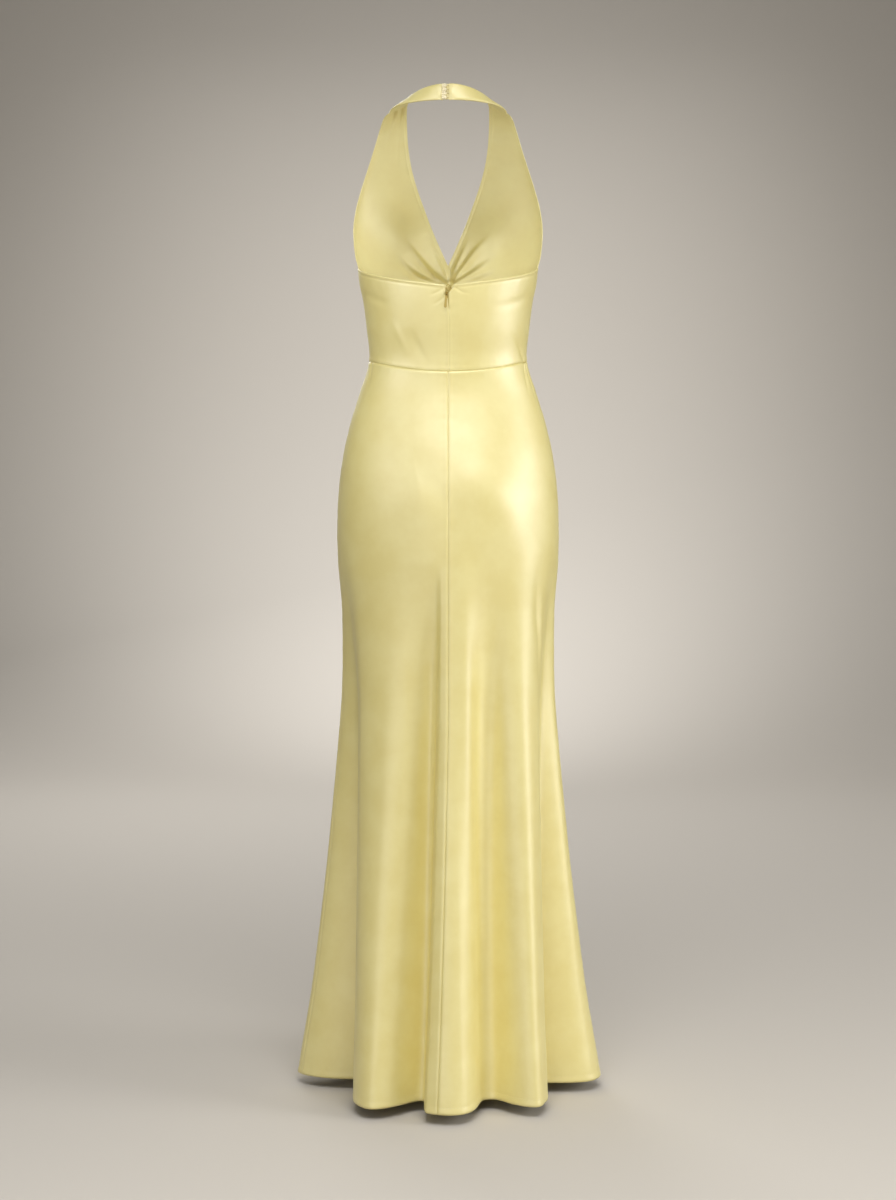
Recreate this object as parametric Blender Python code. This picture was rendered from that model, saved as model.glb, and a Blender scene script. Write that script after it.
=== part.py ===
"""Floor-length halter dress in pale satin, hollow and filled out as it hangs when it is worn.

Units are metres. The origin is at the nape of the neck, on the inner face of the neck band that carries the
dress. +X is the wearer's right, +Y is forwards and +Z is up, so the open back of the dress faces -Y.
"""

import math
from collections import namedtuple

import bmesh
import bpy
import numpy as np

# Cloth and seams
WALL = 0.0015  # satin and the facing behind it, as one wall
BAND_WALL = 0.0020  # the neck band is folded double
SEAM_GAP = 0.0005  # between the edges of two pieces that are sewn together
BAND_SEAM_GAP = 0.0012  # wider where the thick neck band bends into a front panel

# Heights above the nape
SIDE_SEAM_TOP = -0.2520
BACK_TOP = -0.2874  # the lowest point of the back's top edge, at the zip
WAIST_SIDE = -0.3950
WAIST_BACK = -0.4135
WAIST_FRONT = -0.4010
ZIP_END = -0.6000
HEM = -1.5010

# The wearer's upright axis passes this far in front of the nape.
AXIS_Y = 0.0751

# Level sections through the dress. Widths and depths are from the wearer's axis to the cloth's outer face.
Section = namedtuple("Section", "height half_width back front")
SECTIONS = (
    Section(-0.252, 0.1374, 0.1050, 0.1045),
    Section(-0.276, 0.1350, 0.1042, 0.1030),
    Section(-0.300, 0.1300, 0.1028, 0.1005),
    Section(-0.346, 0.1240, 0.0960, 0.0970),
    Section(-0.394, 0.1205, 0.0860, 0.0940),
    Section(-0.438, 0.1335, 0.0860, 0.0955),
    Section(-0.484, 0.1480, 0.0970, 0.0990),
    Section(-0.530, 0.1590, 0.1110, 0.1035),
    Section(-0.576, 0.1660, 0.1215, 0.1070),
    Section(-0.645, 0.1700, 0.1275, 0.1100),
    Section(-0.714, 0.1685, 0.1260, 0.1100),
    Section(-0.760, 0.1645, 0.1235, 0.1090),
    Section(-0.830, 0.1633, 0.1210, 0.1080),
    Section(-0.900, 0.1646, 0.1210, 0.1080),
    Section(-0.993, 0.1718, 0.1250, 0.1120),
    Section(-1.086, 0.1806, 0.1320, 0.1200),
    Section(-1.180, 0.1903, 0.1420, 0.1320),
    Section(-1.274, 0.2015, 0.1550, 0.1460),
    Section(-1.369, 0.2140, 0.1690, 0.1610),
    Section(-1.464, 0.2300, 0.1860, 0.1780),
    Section(-1.501, 0.2360, 0.1920, 0.1850),
)

# The skirt's flutes, in order round the wearer from the centre back (0 degrees) to the right (90), the centre
# front (180) and the left (270). Each row is the top of a flute or the bottom of a trough: where it stands as it
# begins and at the hem, how far it stands out at the hem (troughs go in), and the height where it begins.
Flute = namedtuple("Flute", "begin_angle hem_angle reach begin_height")
FLUTES = (
    Flute(5, 8, 0.020, -0.700),
    Flute(15, 17, -0.042, -0.690),
    Flute(36, 27, 0.014, -0.720),
    Flute(60, 34, 0.006, -0.660),
    Flute(76, 58, -0.078, -0.660),
    Flute(86, 79, -0.006, -0.700),
    Flute(94, 94, 0.000, -0.800),
    Flute(112, 113, -0.046, -0.840),
    Flute(128, 130, 0.012, -0.820),
    Flute(144, 148, -0.040, -0.760),
    Flute(163, 165, 0.016, -0.760),
    Flute(180, 181, -0.014, -0.780),
    Flute(197, 196, 0.015, -0.760),
    Flute(215, 213, -0.038, -0.740),
    Flute(232, 230, 0.014, -0.820),
    Flute(249, 247, -0.050, -0.860),
    Flute(266, 266, 0.000, -0.800),
    Flute(286, 298, -0.100, -0.660),
    Flute(301, 326.5, 0.006, -0.660),
    Flute(328, 335, 0.012, -0.720),
    Flute(356, 347.5, -0.042, -0.690),
    Flute(359, 355, 0.020, -0.700),
)
FLUTE_GROWTH = 1.35  # above 1, a flute opens faster the nearer it is to the hem
SEAM_DRIFT = (-0.950, -3.6)  # the centre back seam drifts to the left from this height, by this angle at the hem

# The two edges of a front panel on the wearer's right, from the neck band down to the waist. The inner edge is
# the neckline and crosses the centre front; the outer edge is the armhole and then the side seam. Depths are
# forwards of the wearer's axis.
Edges = namedtuple("Edges", "inner_x inner_depth inner_height outer_x outer_depth outer_height")
PANEL_EDGES = (
    Edges(0.0624, 0.005, -0.0040, 0.0900, 0.005, -0.0175),
    Edges(0.0632, 0.024, -0.0165, 0.0982, 0.017, -0.0240),
    Edges(0.0632, 0.042, -0.0345, 0.1052, 0.028, -0.0410),
    Edges(0.0618, 0.057, -0.0600, 0.1138, 0.037, -0.0670),
    Edges(0.0575, 0.071, -0.0880, 0.1236, 0.044, -0.0955),
    Edges(0.0490, 0.085, -0.1185, 0.1334, 0.046, -0.1250),
    Edges(0.0370, 0.096, -0.1510, 0.1414, 0.042, -0.1545),
    Edges(0.0245, 0.103, -0.1830, 0.1455, 0.034, -0.1830),
    Edges(0.0115, 0.105, -0.2130, 0.1450, 0.022, -0.2090),
    Edges(0.0000, 0.105, -0.2385, 0.1418, 0.009, -0.2340),
    Edges(-0.0080, 0.1045, -0.2570, 0.1374, 0.000, -0.2520),
    Edges(-0.0130, 0.1030, -0.2800, 0.1345, 0.000, -0.2760),
    Edges(-0.0150, 0.0995, -0.3150, 0.1282, 0.000, -0.3100),
    Edges(-0.0150, 0.0965, -0.3560, 0.1235, 0.000, -0.3510),
    Edges(-0.0150, 0.0940, -0.4010, 0.1206, 0.000, -0.3950),
)
SIDE_SEAM_ROW = 10  # from this row of the table down, the outer edge is the side seam and follows the sections
WRAP_SHIFT = 0.0013  # the right panel lies this far outside the common surface where they cross, the left inside
WRAP_ZONE = (0.018, 0.045)  # full shift up to the first distance from the centre front, none past the second

# The cup that the gathers shape, as a soft swelling of each front panel
CUP_CENTRE = (0.0740, -0.2080)
CUP_SPREAD = (0.0400, 0.0500)
CUP_DEPTH = 0.0170

# Gathers fan out from one point at the centre front. Angles are from straight up, towards the wearer's right.
GATHER_CENTRE = (0.0016, -0.2668)
Gather = namedtuple("Gather", "angle length depth width")
GATHERS = (
    Gather(21, 0.082, 0.0026, 0.0050),
    Gather(39, 0.104, 0.0030, 0.0065),
    Gather(60, 0.100, 0.0036, 0.0070),
    Gather(79, 0.085, 0.0026, 0.0065),
    Gather(-23, 0.070, 0.0024, 0.0050),
    Gather(-47, 0.108, 0.0048, 0.0070),
    Gather(-67, 0.092, 0.0040, 0.0065),
    Gather(124, 0.085, 0.0022, 0.0070),
    Gather(152, 0.080, 0.0020, 0.0065),
    Gather(-124, 0.085, 0.0022, 0.0070),
    Gather(-152, 0.080, 0.0020, 0.0065),
)
GATHER_ROOT = 0.022  # a gather reaches its full depth this far from the point

# Neck band, from the nape round to the front panels
NAPE_DEPTH = 0.0786  # outer face of the band, behind the wearer's axis
BAND_WIDTH = (0.0250, 0.0307)  # at the nape, at the panel
BAND_SIDE = (0.0762, 0.005, -0.01075)  # middle of the band where it meets a panel: x, depth, height
BAND_LEAN = (8.0, 63.94)  # how far the band's face leans back from upright, in degrees, at the nape and the panel
BAND_END_LEFT = -0.0074  # the two ends of the band leave a gap at the nape
BAND_END_RIGHT = 0.0018

# Fastening at the nape: an underlap carries hooks, which catch cord loops on the band's left end
UNDERLAP_X = (-0.0110, 0.0105)
UNDERLAP_HEIGHT = 0.0235
UNDERLAP_WALL = 0.0012
LOOP_COUNT = 4
LOOP_PITCH = 0.0061
LOOP_CORD = 0.0008  # radius
LOOP_HALF_HEIGHT = 0.00215
LOOP_TIP = -0.0014  # x of the cord's middle at the end of a loop
HOOK_WIRE = 0.00025

# Back opening: the two back pieces leave a small notch above the zip. The distances are from the centre back.
Notch = namedtuple("Notch", "below_top left right")
NOTCH = (
    Notch(0.0000, 0.0046, 0.0080),
    Notch(0.0039, 0.0045, 0.0060),
    Notch(0.0077, 0.0045, 0.0050),
    Notch(0.0116, 0.0046, 0.0002),
    Notch(0.0154, 0.0046, 0.0000),
    Notch(0.0193, 0.0004, 0.0001),
    Notch(0.0231, 0.0000, 0.0000),
)
EYE_MIDDLE = (0.0004, 0.0040)  # x, and how far it lies below the back's top edge
EYE_HALF = (0.0030, 0.0044)  # half width, half height
EYE_WIRE = 0.0004
TAPE_HALF_WIDTH = 0.0080
TAPE_WALL = 0.0010
TAPE_CLEARANCE = 0.0007

# Zip slider and its pull tab
SLIDER_X = -0.0022
SLIDER_HEIGHT = -0.3000  # middle of the slider
SLIDER_SIZE = (0.0030, 0.0013, 0.0056)
BRIDGE_RISE = 0.0027
BRIDGE_WIRE = 0.00045
BRIDGE_HALF_LENGTH = 0.0023
PIVOT_OUT = 0.0012  # the pull's crossbar, out from the slider's face
PULL_LENGTH = 0.0210
PULL_HALF_WIDTH = 0.0019
PULL_WALL = 0.0009
PULL_TILT = 5.5  # hangs a little to the wearer's left, in degrees
PULL_BAR = (0.0015, 0.0005)  # half width, half height
PULL_WINDOW = (0.0010, 0.0035)  # half width, lowest point below the bar's middle

# Grid sizes
SKIRT_ROWS = 19
SKIRT_BACK_COLUMNS = 20
SKIRT_FRONT_COLUMNS = 28
PANEL_ROWS = 21
PANEL_COLUMNS = 16
BODICE_COLUMNS = 11
BODICE_ROWS = (0.0, 0.03, 0.06, 0.09, 0.12, 0.15, 0.18, 0.26, 0.38, 0.54, 0.76, 1.0)
BAND_COLUMNS = 14
ROW_CROWDING = 1.2  # above 1, a skirt's rows stand closer together near the waist
TAPE_ROWS = (1, 5)  # the zip tape starts at this row of the back and ends at this row of the skirt

SATIN = ("satin", (0.700, 0.630, 0.290, 1.0), 0.34, 0.0)
THREAD = ("loop_thread", (0.800, 0.740, 0.480, 1.0), 0.60, 0.0)
HOOK_METAL = ("hook_metal", (0.500, 0.420, 0.220, 1.0), 0.35, 1.0)
PULL_ENAMEL = ("pull_enamel", (0.480, 0.400, 0.150, 1.0), 0.35, 0.0)
TAPE_WEAVE = ("zip_tape", (0.520, 0.450, 0.200, 1.0), 0.70, 0.0)


def clear_scene():
    for obj in list(bpy.data.objects):
        bpy.data.objects.remove(obj)


def material(name, colour, roughness, metallic):
    made = bpy.data.materials.get(name) or bpy.data.materials.new(name)
    made.use_nodes = True
    shader = made.node_tree.nodes["Principled BSDF"]
    shader.inputs["Base Color"].default_value = colour
    shader.inputs["Roughness"].default_value = roughness
    shader.inputs["Metallic"].default_value = metallic
    made.diffuse_color = colour
    return made


def through(stations, values, at):
    """A smooth curve through values that are known at rising stations."""
    stations, values = np.asarray(stations, float), np.asarray(values, float)
    at = np.clip(np.asarray(at, float), stations[0], stations[-1])
    slopes = np.gradient(values, stations)
    i = np.clip(np.searchsorted(stations, at, side="right") - 1, 0, len(stations) - 2)
    step = stations[i + 1] - stations[i]
    t = (at - stations[i]) / step
    start = (1 + 2 * t) * (1 - t) ** 2 * values[i] + t * (1 - t) ** 2 * step * slopes[i]
    end = t**2 * (3 - 2 * t) * values[i + 1] + t**2 * (t - 1) * step * slopes[i + 1]
    return start + end


def ease(t):
    """0 to 1 with a level start and end."""
    t = np.clip(t, 0.0, 1.0)
    return t * t * (3 - 2 * t)


def section_value(column, height):
    rows = SECTIONS[::-1]
    return through([row.height for row in rows], [getattr(row, column) for row in rows], height)


def ring_points(angles, heights, out=0.0):
    """Points round the dress: angles in degrees from the centre back, towards the wearer's right."""
    turn = np.radians(angles)
    sine, cosine = np.sin(turn), np.cos(turn)
    width = section_value("half_width", heights)
    depth = np.where(cosine > 0, section_value("back", heights), section_value("front", heights))
    normal = np.stack([sine / width, -cosine / depth], axis=-1)
    normal /= np.linalg.norm(normal, axis=-1, keepdims=True)
    x = width * sine + normal[..., 0] * out
    y = AXIS_Y - depth * cosine + normal[..., 1] * out
    return np.stack(np.broadcast_arrays(x, y, heights), axis=-1)


def flute_offset(angles, heights):
    """How far the skirt stands in or out from its plain section."""
    angles, heights = np.broadcast_arrays(np.asarray(angles, float), np.asarray(heights, float))
    grown, places = [], []
    for flute in FLUTES:
        share = np.clip((flute.begin_height - heights) / (flute.begin_height - HEM), 0, 1)
        places.append(flute.begin_angle + (flute.hem_angle - flute.begin_angle) * share)
        grown.append(flute.reach * share**FLUTE_GROWTH)
    places = np.stack([places[-1] - 360, *places, places[0] + 360])
    grown = np.stack([grown[-1], *grown, grown[0]])
    turned = np.mod(angles, 360)
    offset = np.zeros_like(heights)
    for i in range(len(places) - 1):
        inside = (turned >= places[i]) & (turned < places[i + 1])
        share = (turned - places[i]) / (places[i + 1] - places[i])
        offset = np.where(inside, grown[i] + (grown[i + 1] - grown[i]) * ease(share), offset)
    return offset


def skirt_points(angles, heights):
    return ring_points(angles, heights, flute_offset(angles, heights))


def waist_height(angles):
    """The waist seam dips towards the centre back, and a little towards the centre front."""
    sine, cosine = np.sin(np.radians(angles)), np.cos(np.radians(angles))
    lowest = np.where(cosine > 0, WAIST_BACK, WAIST_FRONT)
    return lowest + (WAIST_SIDE - lowest) * sine**2


def back_top_height(angles):
    """The back's top edge rises from the zip to the side seams."""
    return BACK_TOP + (SIDE_SEAM_TOP - BACK_TOP) * (np.abs(angles) / 90) ** 1.25


def even_angles(start, stop, count):
    """Angles that divide the skirt between two seams evenly, along its hem and its hip taken together."""
    fine = np.linspace(start, stop, 40 * count)
    length = np.zeros(len(fine))
    for height, share in ((HEM, 0.7), (-0.645, 0.3)):
        points = skirt_points(fine, height)
        steps = np.linalg.norm(np.diff(points, axis=0), axis=1)
        length[1:] += share * np.cumsum(steps)
    return np.interp(np.linspace(0, length[-1], count + 1), length, fine)


def normals_of(surface, angles, heights):
    """Outward normals of a surface that is a function of angle and height, the same from both sides of a seam."""
    along = surface(angles + 0.3, heights) - surface(angles - 0.3, heights)
    down = surface(angles, heights - 0.003) - surface(angles, heights + 0.003)
    normal = np.cross(down, along)
    return normal / np.linalg.norm(normal, axis=-1, keepdims=True)


def grid_normals(grid):
    """Outward normals of a grid whose rows run down and whose columns run to the right, seen from outside."""
    normal = np.cross(np.gradient(grid, axis=0), np.gradient(grid, axis=1))
    return normal / np.linalg.norm(normal, axis=-1, keepdims=True)


def drawn_in(grid, sides, gap=SEAM_GAP):
    """Moves a grid's outer rows and columns in by half the seam gap on the named sides."""
    views = {
        "top": (grid[0], grid[1]),
        "bottom": (grid[-1], grid[-2]),
        "left": (grid[:, 0], grid[:, 1]),
        "right": (grid[:, -1], grid[:, -2]),
    }
    for side in sides:
        edge, inner = views[side]
        way = inner - edge
        edge += way / np.linalg.norm(way, axis=-1, keepdims=True) * gap / 2
    return grid


def add_mesh(name, mesh, finish):
    mesh.materials.append(material(*finish))
    obj = bpy.data.objects.new(name, mesh)
    bpy.data.collections[COLLECTION].objects.link(obj)
    return obj


def cloth(name, outer, inner, finish=SATIN):
    """A closed cloth wall between two grids of points, its outer face and its inner face."""
    rows, columns = outer.shape[:2]
    shape = bmesh.new()
    front = [[shape.verts.new(point) for point in row] for row in outer]
    back = [[shape.verts.new(point) for point in row] for row in inner]
    for i in range(rows - 1):
        for j in range(columns - 1):
            shape.faces.new((front[i][j], front[i + 1][j], front[i + 1][j + 1], front[i][j + 1]))
            shape.faces.new((back[i][j], back[i][j + 1], back[i + 1][j + 1], back[i + 1][j]))
    rim = [(0, j) for j in range(columns)] + [(i, columns - 1) for i in range(1, rows)]
    rim += [(rows - 1, j) for j in range(columns - 2, -1, -1)] + [(i, 0) for i in range(rows - 2, 0, -1)]
    for (i, j), (k, m) in zip(rim, rim[1:] + rim[:1]):
        shape.faces.new((front[i][j], front[k][m], back[k][m], back[i][j]))
    mesh = bpy.data.meshes.new(name)
    shape.to_mesh(mesh)
    shape.free()
    mesh.shade_smooth()
    return add_mesh(name, mesh, finish)


def skirt_height(top, row):
    return top + (HEM - top) * (row / SKIRT_ROWS) ** ROW_CROWDING


def skirt_panel(name, start, stop, columns):
    angles = even_angles(start, stop, columns)
    heights = skirt_height(waist_height(angles), np.arange(SKIRT_ROWS + 1)[:, None])
    below = np.clip((SEAM_DRIFT[0] - heights) / (SEAM_DRIFT[0] - HEM), 0, 1)
    angles = angles + SEAM_DRIFT[1] * below * np.clip(np.cos(np.radians(angles)), 0, 1) ** 2
    outer = skirt_points(angles, heights)
    inner = outer - normals_of(skirt_points, angles, heights) * WALL
    sides = ("top", "left", "right")
    cloth(name, drawn_in(outer, sides), drawn_in(inner, sides))


def back_piece(name, side):
    """One half of the low back, from the notch and the zip to the side seam. Side is 1 for the wearer's right."""
    shares = np.array(BODICE_ROWS)
    below = shares * (BACK_TOP - WAIST_BACK)
    edge = np.interp(below, [n.below_top for n in NOTCH], [n.right if side > 0 else n.left for n in NOTCH])
    first = np.degrees(np.arcsin(edge / section_value("half_width", BACK_TOP - below)))
    across = np.linspace(0, 1, BODICE_COLUMNS + 1)
    angles = first[:, None] + (90 - first[:, None]) * across
    top, bottom = back_top_height(angles), waist_height(angles)
    heights = top + (bottom - top) * shares[:, None]
    outer = ring_points(side * angles, heights)
    inner = outer - normals_of(ring_points, side * angles, heights) * WALL
    if side < 0:
        outer, inner = outer[:, ::-1].copy(), inner[:, ::-1].copy()
    sides = ("bottom", "right" if side > 0 else "left")
    cloth(name, drawn_in(outer, sides), drawn_in(inner, sides))


def gather_depth(x, height):
    """How far the gathers push the front out at a point."""
    dx, dz = x - GATHER_CENTRE[0], height - GATHER_CENTRE[1]
    far = np.hypot(dx, dz)
    depth = np.zeros_like(far)
    for gather in GATHERS:
        turn = math.radians(gather.angle)
        along = dx * math.sin(turn) + dz * math.cos(turn)
        aside = dx * math.cos(turn) - dz * math.sin(turn)
        root = ease(along / GATHER_ROOT)
        fade = 1 - ease((along - 0.35 * gather.length) / (0.65 * gather.length))
        spread = gather.width * (0.45 + 0.55 * np.clip(along / gather.length, 0, 1))
        depth += gather.depth * root * fade * np.exp(-((aside / spread) ** 2))
    return depth


def panel_points(side, rows, columns):
    """A front panel as a grid, from the neck band down and from the neckline to the armhole and side seam."""
    stations = np.arange(len(PANEL_EDGES))
    at = np.linspace(0, len(PANEL_EDGES) - 1, rows + 1)
    edge = {
        name: through(stations, [getattr(row, name) for row in PANEL_EDGES], at)[:, None]
        for name in Edges._fields
    }
    sewn = at[:, None] >= SIDE_SEAM_ROW
    edge["outer_x"] = np.where(sewn, section_value("half_width", edge["outer_height"]), edge["outer_x"])
    across = np.linspace(0, 1, columns + 1)
    first = np.arcsin(edge["inner_x"] / edge["outer_x"])
    turn = first + (math.pi / 2 - first) * across
    x = edge["outer_x"] * np.sin(turn)
    swell = (edge["inner_depth"] - edge["outer_depth"]) / np.cos(first)
    share = (x - edge["inner_x"]) / (edge["outer_x"] - edge["inner_x"])
    height = edge["inner_height"] + (edge["outer_height"] - edge["inner_height"]) * share
    waist = WAIST_FRONT + (WAIST_SIDE - WAIST_FRONT) * (x[-1] / x[-1, -1]) ** 2
    height += (waist - height[-1]) * ease(at[:, None] - len(PANEL_EDGES) + 2)
    cup_x, cup_z = (x - CUP_CENTRE[0]) / CUP_SPREAD[0], (height - CUP_CENTRE[1]) / CUP_SPREAD[1]
    depth = edge["outer_depth"] + swell * np.cos(turn) + CUP_DEPTH * np.exp(-(cup_x**2) - cup_z**2)
    away = (np.abs(x) - WRAP_ZONE[0]) / (WRAP_ZONE[1] - WRAP_ZONE[0])
    below = ease((-0.205 - height) / 0.02)
    depth += side * WRAP_SHIFT * (1 - ease(away)) * below
    depth += gather_depth(side * x, height)
    grid = np.stack([side * x, AXIS_Y + depth, height], axis=-1)
    return grid[:, ::-1].copy() if side > 0 else grid


def front_piece(name, side):
    outer = panel_points(side, PANEL_ROWS, PANEL_COLUMNS)
    inner = outer - grid_normals(outer) * WALL
    for grid in (outer, inner):
        drawn_in(grid, ("bottom", "left" if side > 0 else "right"))
        drawn_in(grid, ("top",), BAND_SEAM_GAP)
    cloth(name, outer, inner)


def neck_points(xs, inwards=0.0, width=None):
    """The neck band between points of its middle line, given by x and all behind the neck's sides.

    The grid has its upper edge first. It can be moved inwards, and given one width all along."""
    sine = np.asarray(xs) / BAND_SIDE[0]
    cosine = np.sqrt(np.clip(1 - sine**2, 0, 1))
    reach = NAPE_DEPTH + BAND_SIDE[1] - inwards
    middle = [(BAND_SIDE[0] - inwards) * sine, BAND_SIDE[1] - reach * cosine, BAND_SIDE[2] * (1 - cosine)]
    lean = np.radians(BAND_LEAN[0] + (BAND_LEAN[1] - BAND_LEAN[0]) * np.abs(sine) ** 1.2)
    down = np.stack([np.sin(lean) * sine, -np.sin(lean) * cosine, -np.cos(lean)], axis=-1)
    span = BAND_WIDTH[0] + (BAND_WIDTH[1] - BAND_WIDTH[0]) * ease(1 - cosine)
    span = span if width is None else np.full_like(span, width)
    shares = np.linspace(-0.5, 0.5, 4)[:, None, None]
    grid = np.stack(middle, axis=-1) + down * span[:, None] * shares
    grid[..., 1] += AXIS_Y
    return grid


def neck_band(name, side, end_x):
    first = math.asin(abs(end_x) / BAND_SIDE[0])
    xs = side * BAND_SIDE[0] * np.sin(np.linspace(first, math.pi / 2, BAND_COLUMNS + 1))
    outer = neck_points(xs if side > 0 else xs[::-1])
    inner = outer - grid_normals(outer) * BAND_WALL
    sides = ("right" if side > 0 else "left",)
    cloth(name, drawn_in(outer, sides, BAND_SEAM_GAP), drawn_in(inner, sides, BAND_SEAM_GAP))


def neck_underlap():
    """A narrow tab under the gap between the band's ends."""
    outer = neck_points(np.linspace(*UNDERLAP_X, 5), BAND_WALL + SEAM_GAP, UNDERLAP_HEIGHT)
    cloth("neck_underlap", outer, outer - grid_normals(outer) * UNDERLAP_WALL)


def wire(name, points, radius, finish, closed=False):
    """A round wire through points, with filled ends."""
    curve = bpy.data.curves.new(name, "CURVE")
    curve.dimensions = "3D"
    curve.bevel_depth = radius
    curve.bevel_resolution = 1
    curve.use_fill_caps = True
    spline = curve.splines.new("POLY")
    spline.points.add(len(points) - 1)
    for knot, point in zip(spline.points, points):
        knot.co = (*point, 1.0)
    spline.use_cyclic_u = closed
    curve.materials.append(material(*finish))
    obj = bpy.data.objects.new(name, curve)
    bpy.data.collections[COLLECTION].objects.link(obj)
    return obj


def arc(centre, radius, start, stop, count):
    """Points of an arc in a plane, angles in degrees."""
    turns = np.radians(np.linspace(start, stop, count))
    return [(centre[0] + radius * math.cos(t), centre[1] + radius * math.sin(t)) for t in turns]


def nape_fastening():
    """Cord loops on the band's left end, each caught by a wire hook that stands on the underlap."""
    outer = AXIS_Y - NAPE_DEPTH
    lean = math.tan(math.radians(BAND_LEAN[0]))
    root = BAND_END_LEFT + 0.0004
    for number in range(LOOP_COUNT):
        height = ((LOOP_COUNT - 1) / 2 - number) * LOOP_PITCH
        plane = outer + LOOP_CORD + height * lean
        bend = arc((LOOP_TIP - LOOP_HALF_HEIGHT, 0), LOOP_HALF_HEIGHT, 90, -90, 7)
        loop = [(root, plane, height + LOOP_HALF_HEIGHT)]
        loop += [(x, plane, height + dz) for x, dz in bend]
        loop += [(root, plane, height - LOOP_HALF_HEIGHT)]
        wire(f"neck_loop_{number + 1}", loop, LOOP_CORD, THREAD)
        bend = arc((LOOP_TIP, plane), LOOP_CORD + HOOK_WIRE + 0.00015, 90, 215, 7)
        hook = [(BAND_END_RIGHT - 0.0006, bend[0][1], height)] + [(x, y, height) for x, y in bend]
        wire(f"neck_hook_{number + 1}", hook, HOOK_WIRE, HOOK_METAL)


def back_outer_y(height):
    """The outer face of the cloth at the centre back."""
    return AXIS_Y - float(section_value("back", height))


def back_fastening():
    """A wire eye in the notch above the zip, caught by a hook on the right back piece."""
    middle, height = EYE_MIDDLE[0], BACK_TOP - EYE_MIDDLE[1]
    plane = back_outer_y(height) + WALL / 2
    turns = np.radians(np.arange(0, 360, 24))
    eye = [
        (middle + EYE_HALF[0] * math.sin(t) * (1 + 0.2 * math.cos(t)), plane, height + EYE_HALF[1] * math.cos(t))
        for t in turns
    ]
    wire("back_eye", eye, EYE_WIRE, HOOK_METAL, closed=True)
    bend = arc((middle + EYE_HALF[0], plane), EYE_WIRE + HOOK_WIRE + 0.0002, 270, 90, 7)
    hook = [(x, y, height) for x, y in bend]
    hook = [(hook[0][0] + 0.0006, hook[0][1], height)] + hook + [(hook[-1][0] + 0.0006, hook[-1][1], height)]
    wire("back_hook", hook, HOOK_WIRE, HOOK_METAL)


def zip_tape():
    """The zip's tape and closed chain, behind the centre back from the notch to just below the zip's end."""
    rows = [BACK_TOP + (WAIST_BACK - BACK_TOP) * share for share in BODICE_ROWS[TAPE_ROWS[0] :]]
    rows += [skirt_height(WAIST_BACK, row) for row in range(1, TAPE_ROWS[1] + 1)]
    heights = np.array(rows)[:, None]
    xs = np.linspace(-TAPE_HALF_WIDTH, TAPE_HALF_WIDTH, 5)
    angles = np.degrees(np.arcsin(xs / section_value("half_width", heights)))
    outer = ring_points(angles, heights + 0 * angles, -(WALL + TAPE_CLEARANCE))
    cloth("zip_tape", outer, outer - grid_normals(outer) * TAPE_WALL, TAPE_WEAVE)


def zip_slider():
    """The slider's body with the bridge that holds the pull, as one solid."""
    face = back_outer_y(SLIDER_HEIGHT)
    shape = bmesh.new()
    bmesh.ops.create_cube(shape, size=1.0)
    bmesh.ops.scale(shape, vec=SLIDER_SIZE, verts=shape.verts)
    bmesh.ops.translate(shape, vec=(SLIDER_X, face + SLIDER_SIZE[1] / 2, SLIDER_HEIGHT), verts=shape.verts)
    mesh = bpy.data.meshes.new("zip_slider")
    shape.to_mesh(mesh)
    shape.free()
    body = add_mesh("zip_slider", mesh, HOOK_METAL)
    rise = arc((0, 0), 1.0, 180, 0, 9)
    arch = [(face - BRIDGE_RISE * s, SLIDER_HEIGHT + BRIDGE_HALF_LENGTH * c) for c, s in rise]
    arch = [(face + 0.0006, arch[0][1])] + arch + [(face + 0.0006, arch[-1][1])]
    bridge = [(SLIDER_X, y, z) for y, z in arch]
    tube = wire("zip_bridge", bridge, BRIDGE_WIRE, HOOK_METAL)
    solid = as_mesh(tube)
    solid.hide_render = True
    solid.display_type = "WIRE"
    joined = body.modifiers.new("bridge", "BOOLEAN")
    joined.operation = "UNION"
    joined.object = solid


def as_mesh(obj):
    """Replaces a curve with its evaluated mesh, its caps welded on."""
    bpy.context.view_layer.update()
    graph = bpy.context.evaluated_depsgraph_get()
    mesh = bpy.data.meshes.new_from_object(obj.evaluated_get(graph))
    shape = bmesh.new()
    shape.from_mesh(mesh)
    bmesh.ops.remove_doubles(shape, verts=shape.verts, dist=1e-6)
    bmesh.ops.recalc_face_normals(shape, faces=shape.faces)
    shape.to_mesh(mesh)
    shape.free()
    solid = bpy.data.objects.new(obj.name + "_mesh", mesh)
    solid.matrix_world = obj.matrix_world
    bpy.data.collections[COLLECTION].objects.link(solid)
    bpy.data.objects.remove(obj)
    return solid


def pull_tab():
    """The zip's teardrop pull, hung by its window on the slider's bridge, with its origin on that axis."""
    wide, high = PULL_BAR
    half, low = PULL_WINDOW
    outline = [(wide, -high), (wide, high * 0.4), (wide - high * 0.6, high)]
    outline += [(-x, z) for x, z in outline[::-1]]
    outline += arc((0, -PULL_LENGTH + PULL_HALF_WIDTH), PULL_HALF_WIDTH, 175, 365, 12)
    window = [(half, -high), (-half, -high)] + arc((0, half - low), half, 180, 360, 7)
    curve = bpy.data.curves.new("zip_pull", "CURVE")
    curve.dimensions = "2D"
    curve.fill_mode = "BOTH"
    curve.extrude = PULL_WALL / 2
    for ring in (outline, window):
        spline = curve.splines.new("POLY")
        spline.points.add(len(ring) - 1)
        for knot, (x, z) in zip(spline.points, ring):
            knot.co = (x, z, 0, 1)
        spline.use_cyclic_u = True
    curve.materials.append(material(*PULL_ENAMEL))
    obj = bpy.data.objects.new("zip_pull", curve)
    bpy.data.collections[COLLECTION].objects.link(obj)
    obj.location = (SLIDER_X, back_outer_y(SLIDER_HEIGHT) - PIVOT_OUT, SLIDER_HEIGHT)
    obj.rotation_euler = (math.pi / 2, math.radians(PULL_TILT), 0)


COLLECTION = "halter_dress"


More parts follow.
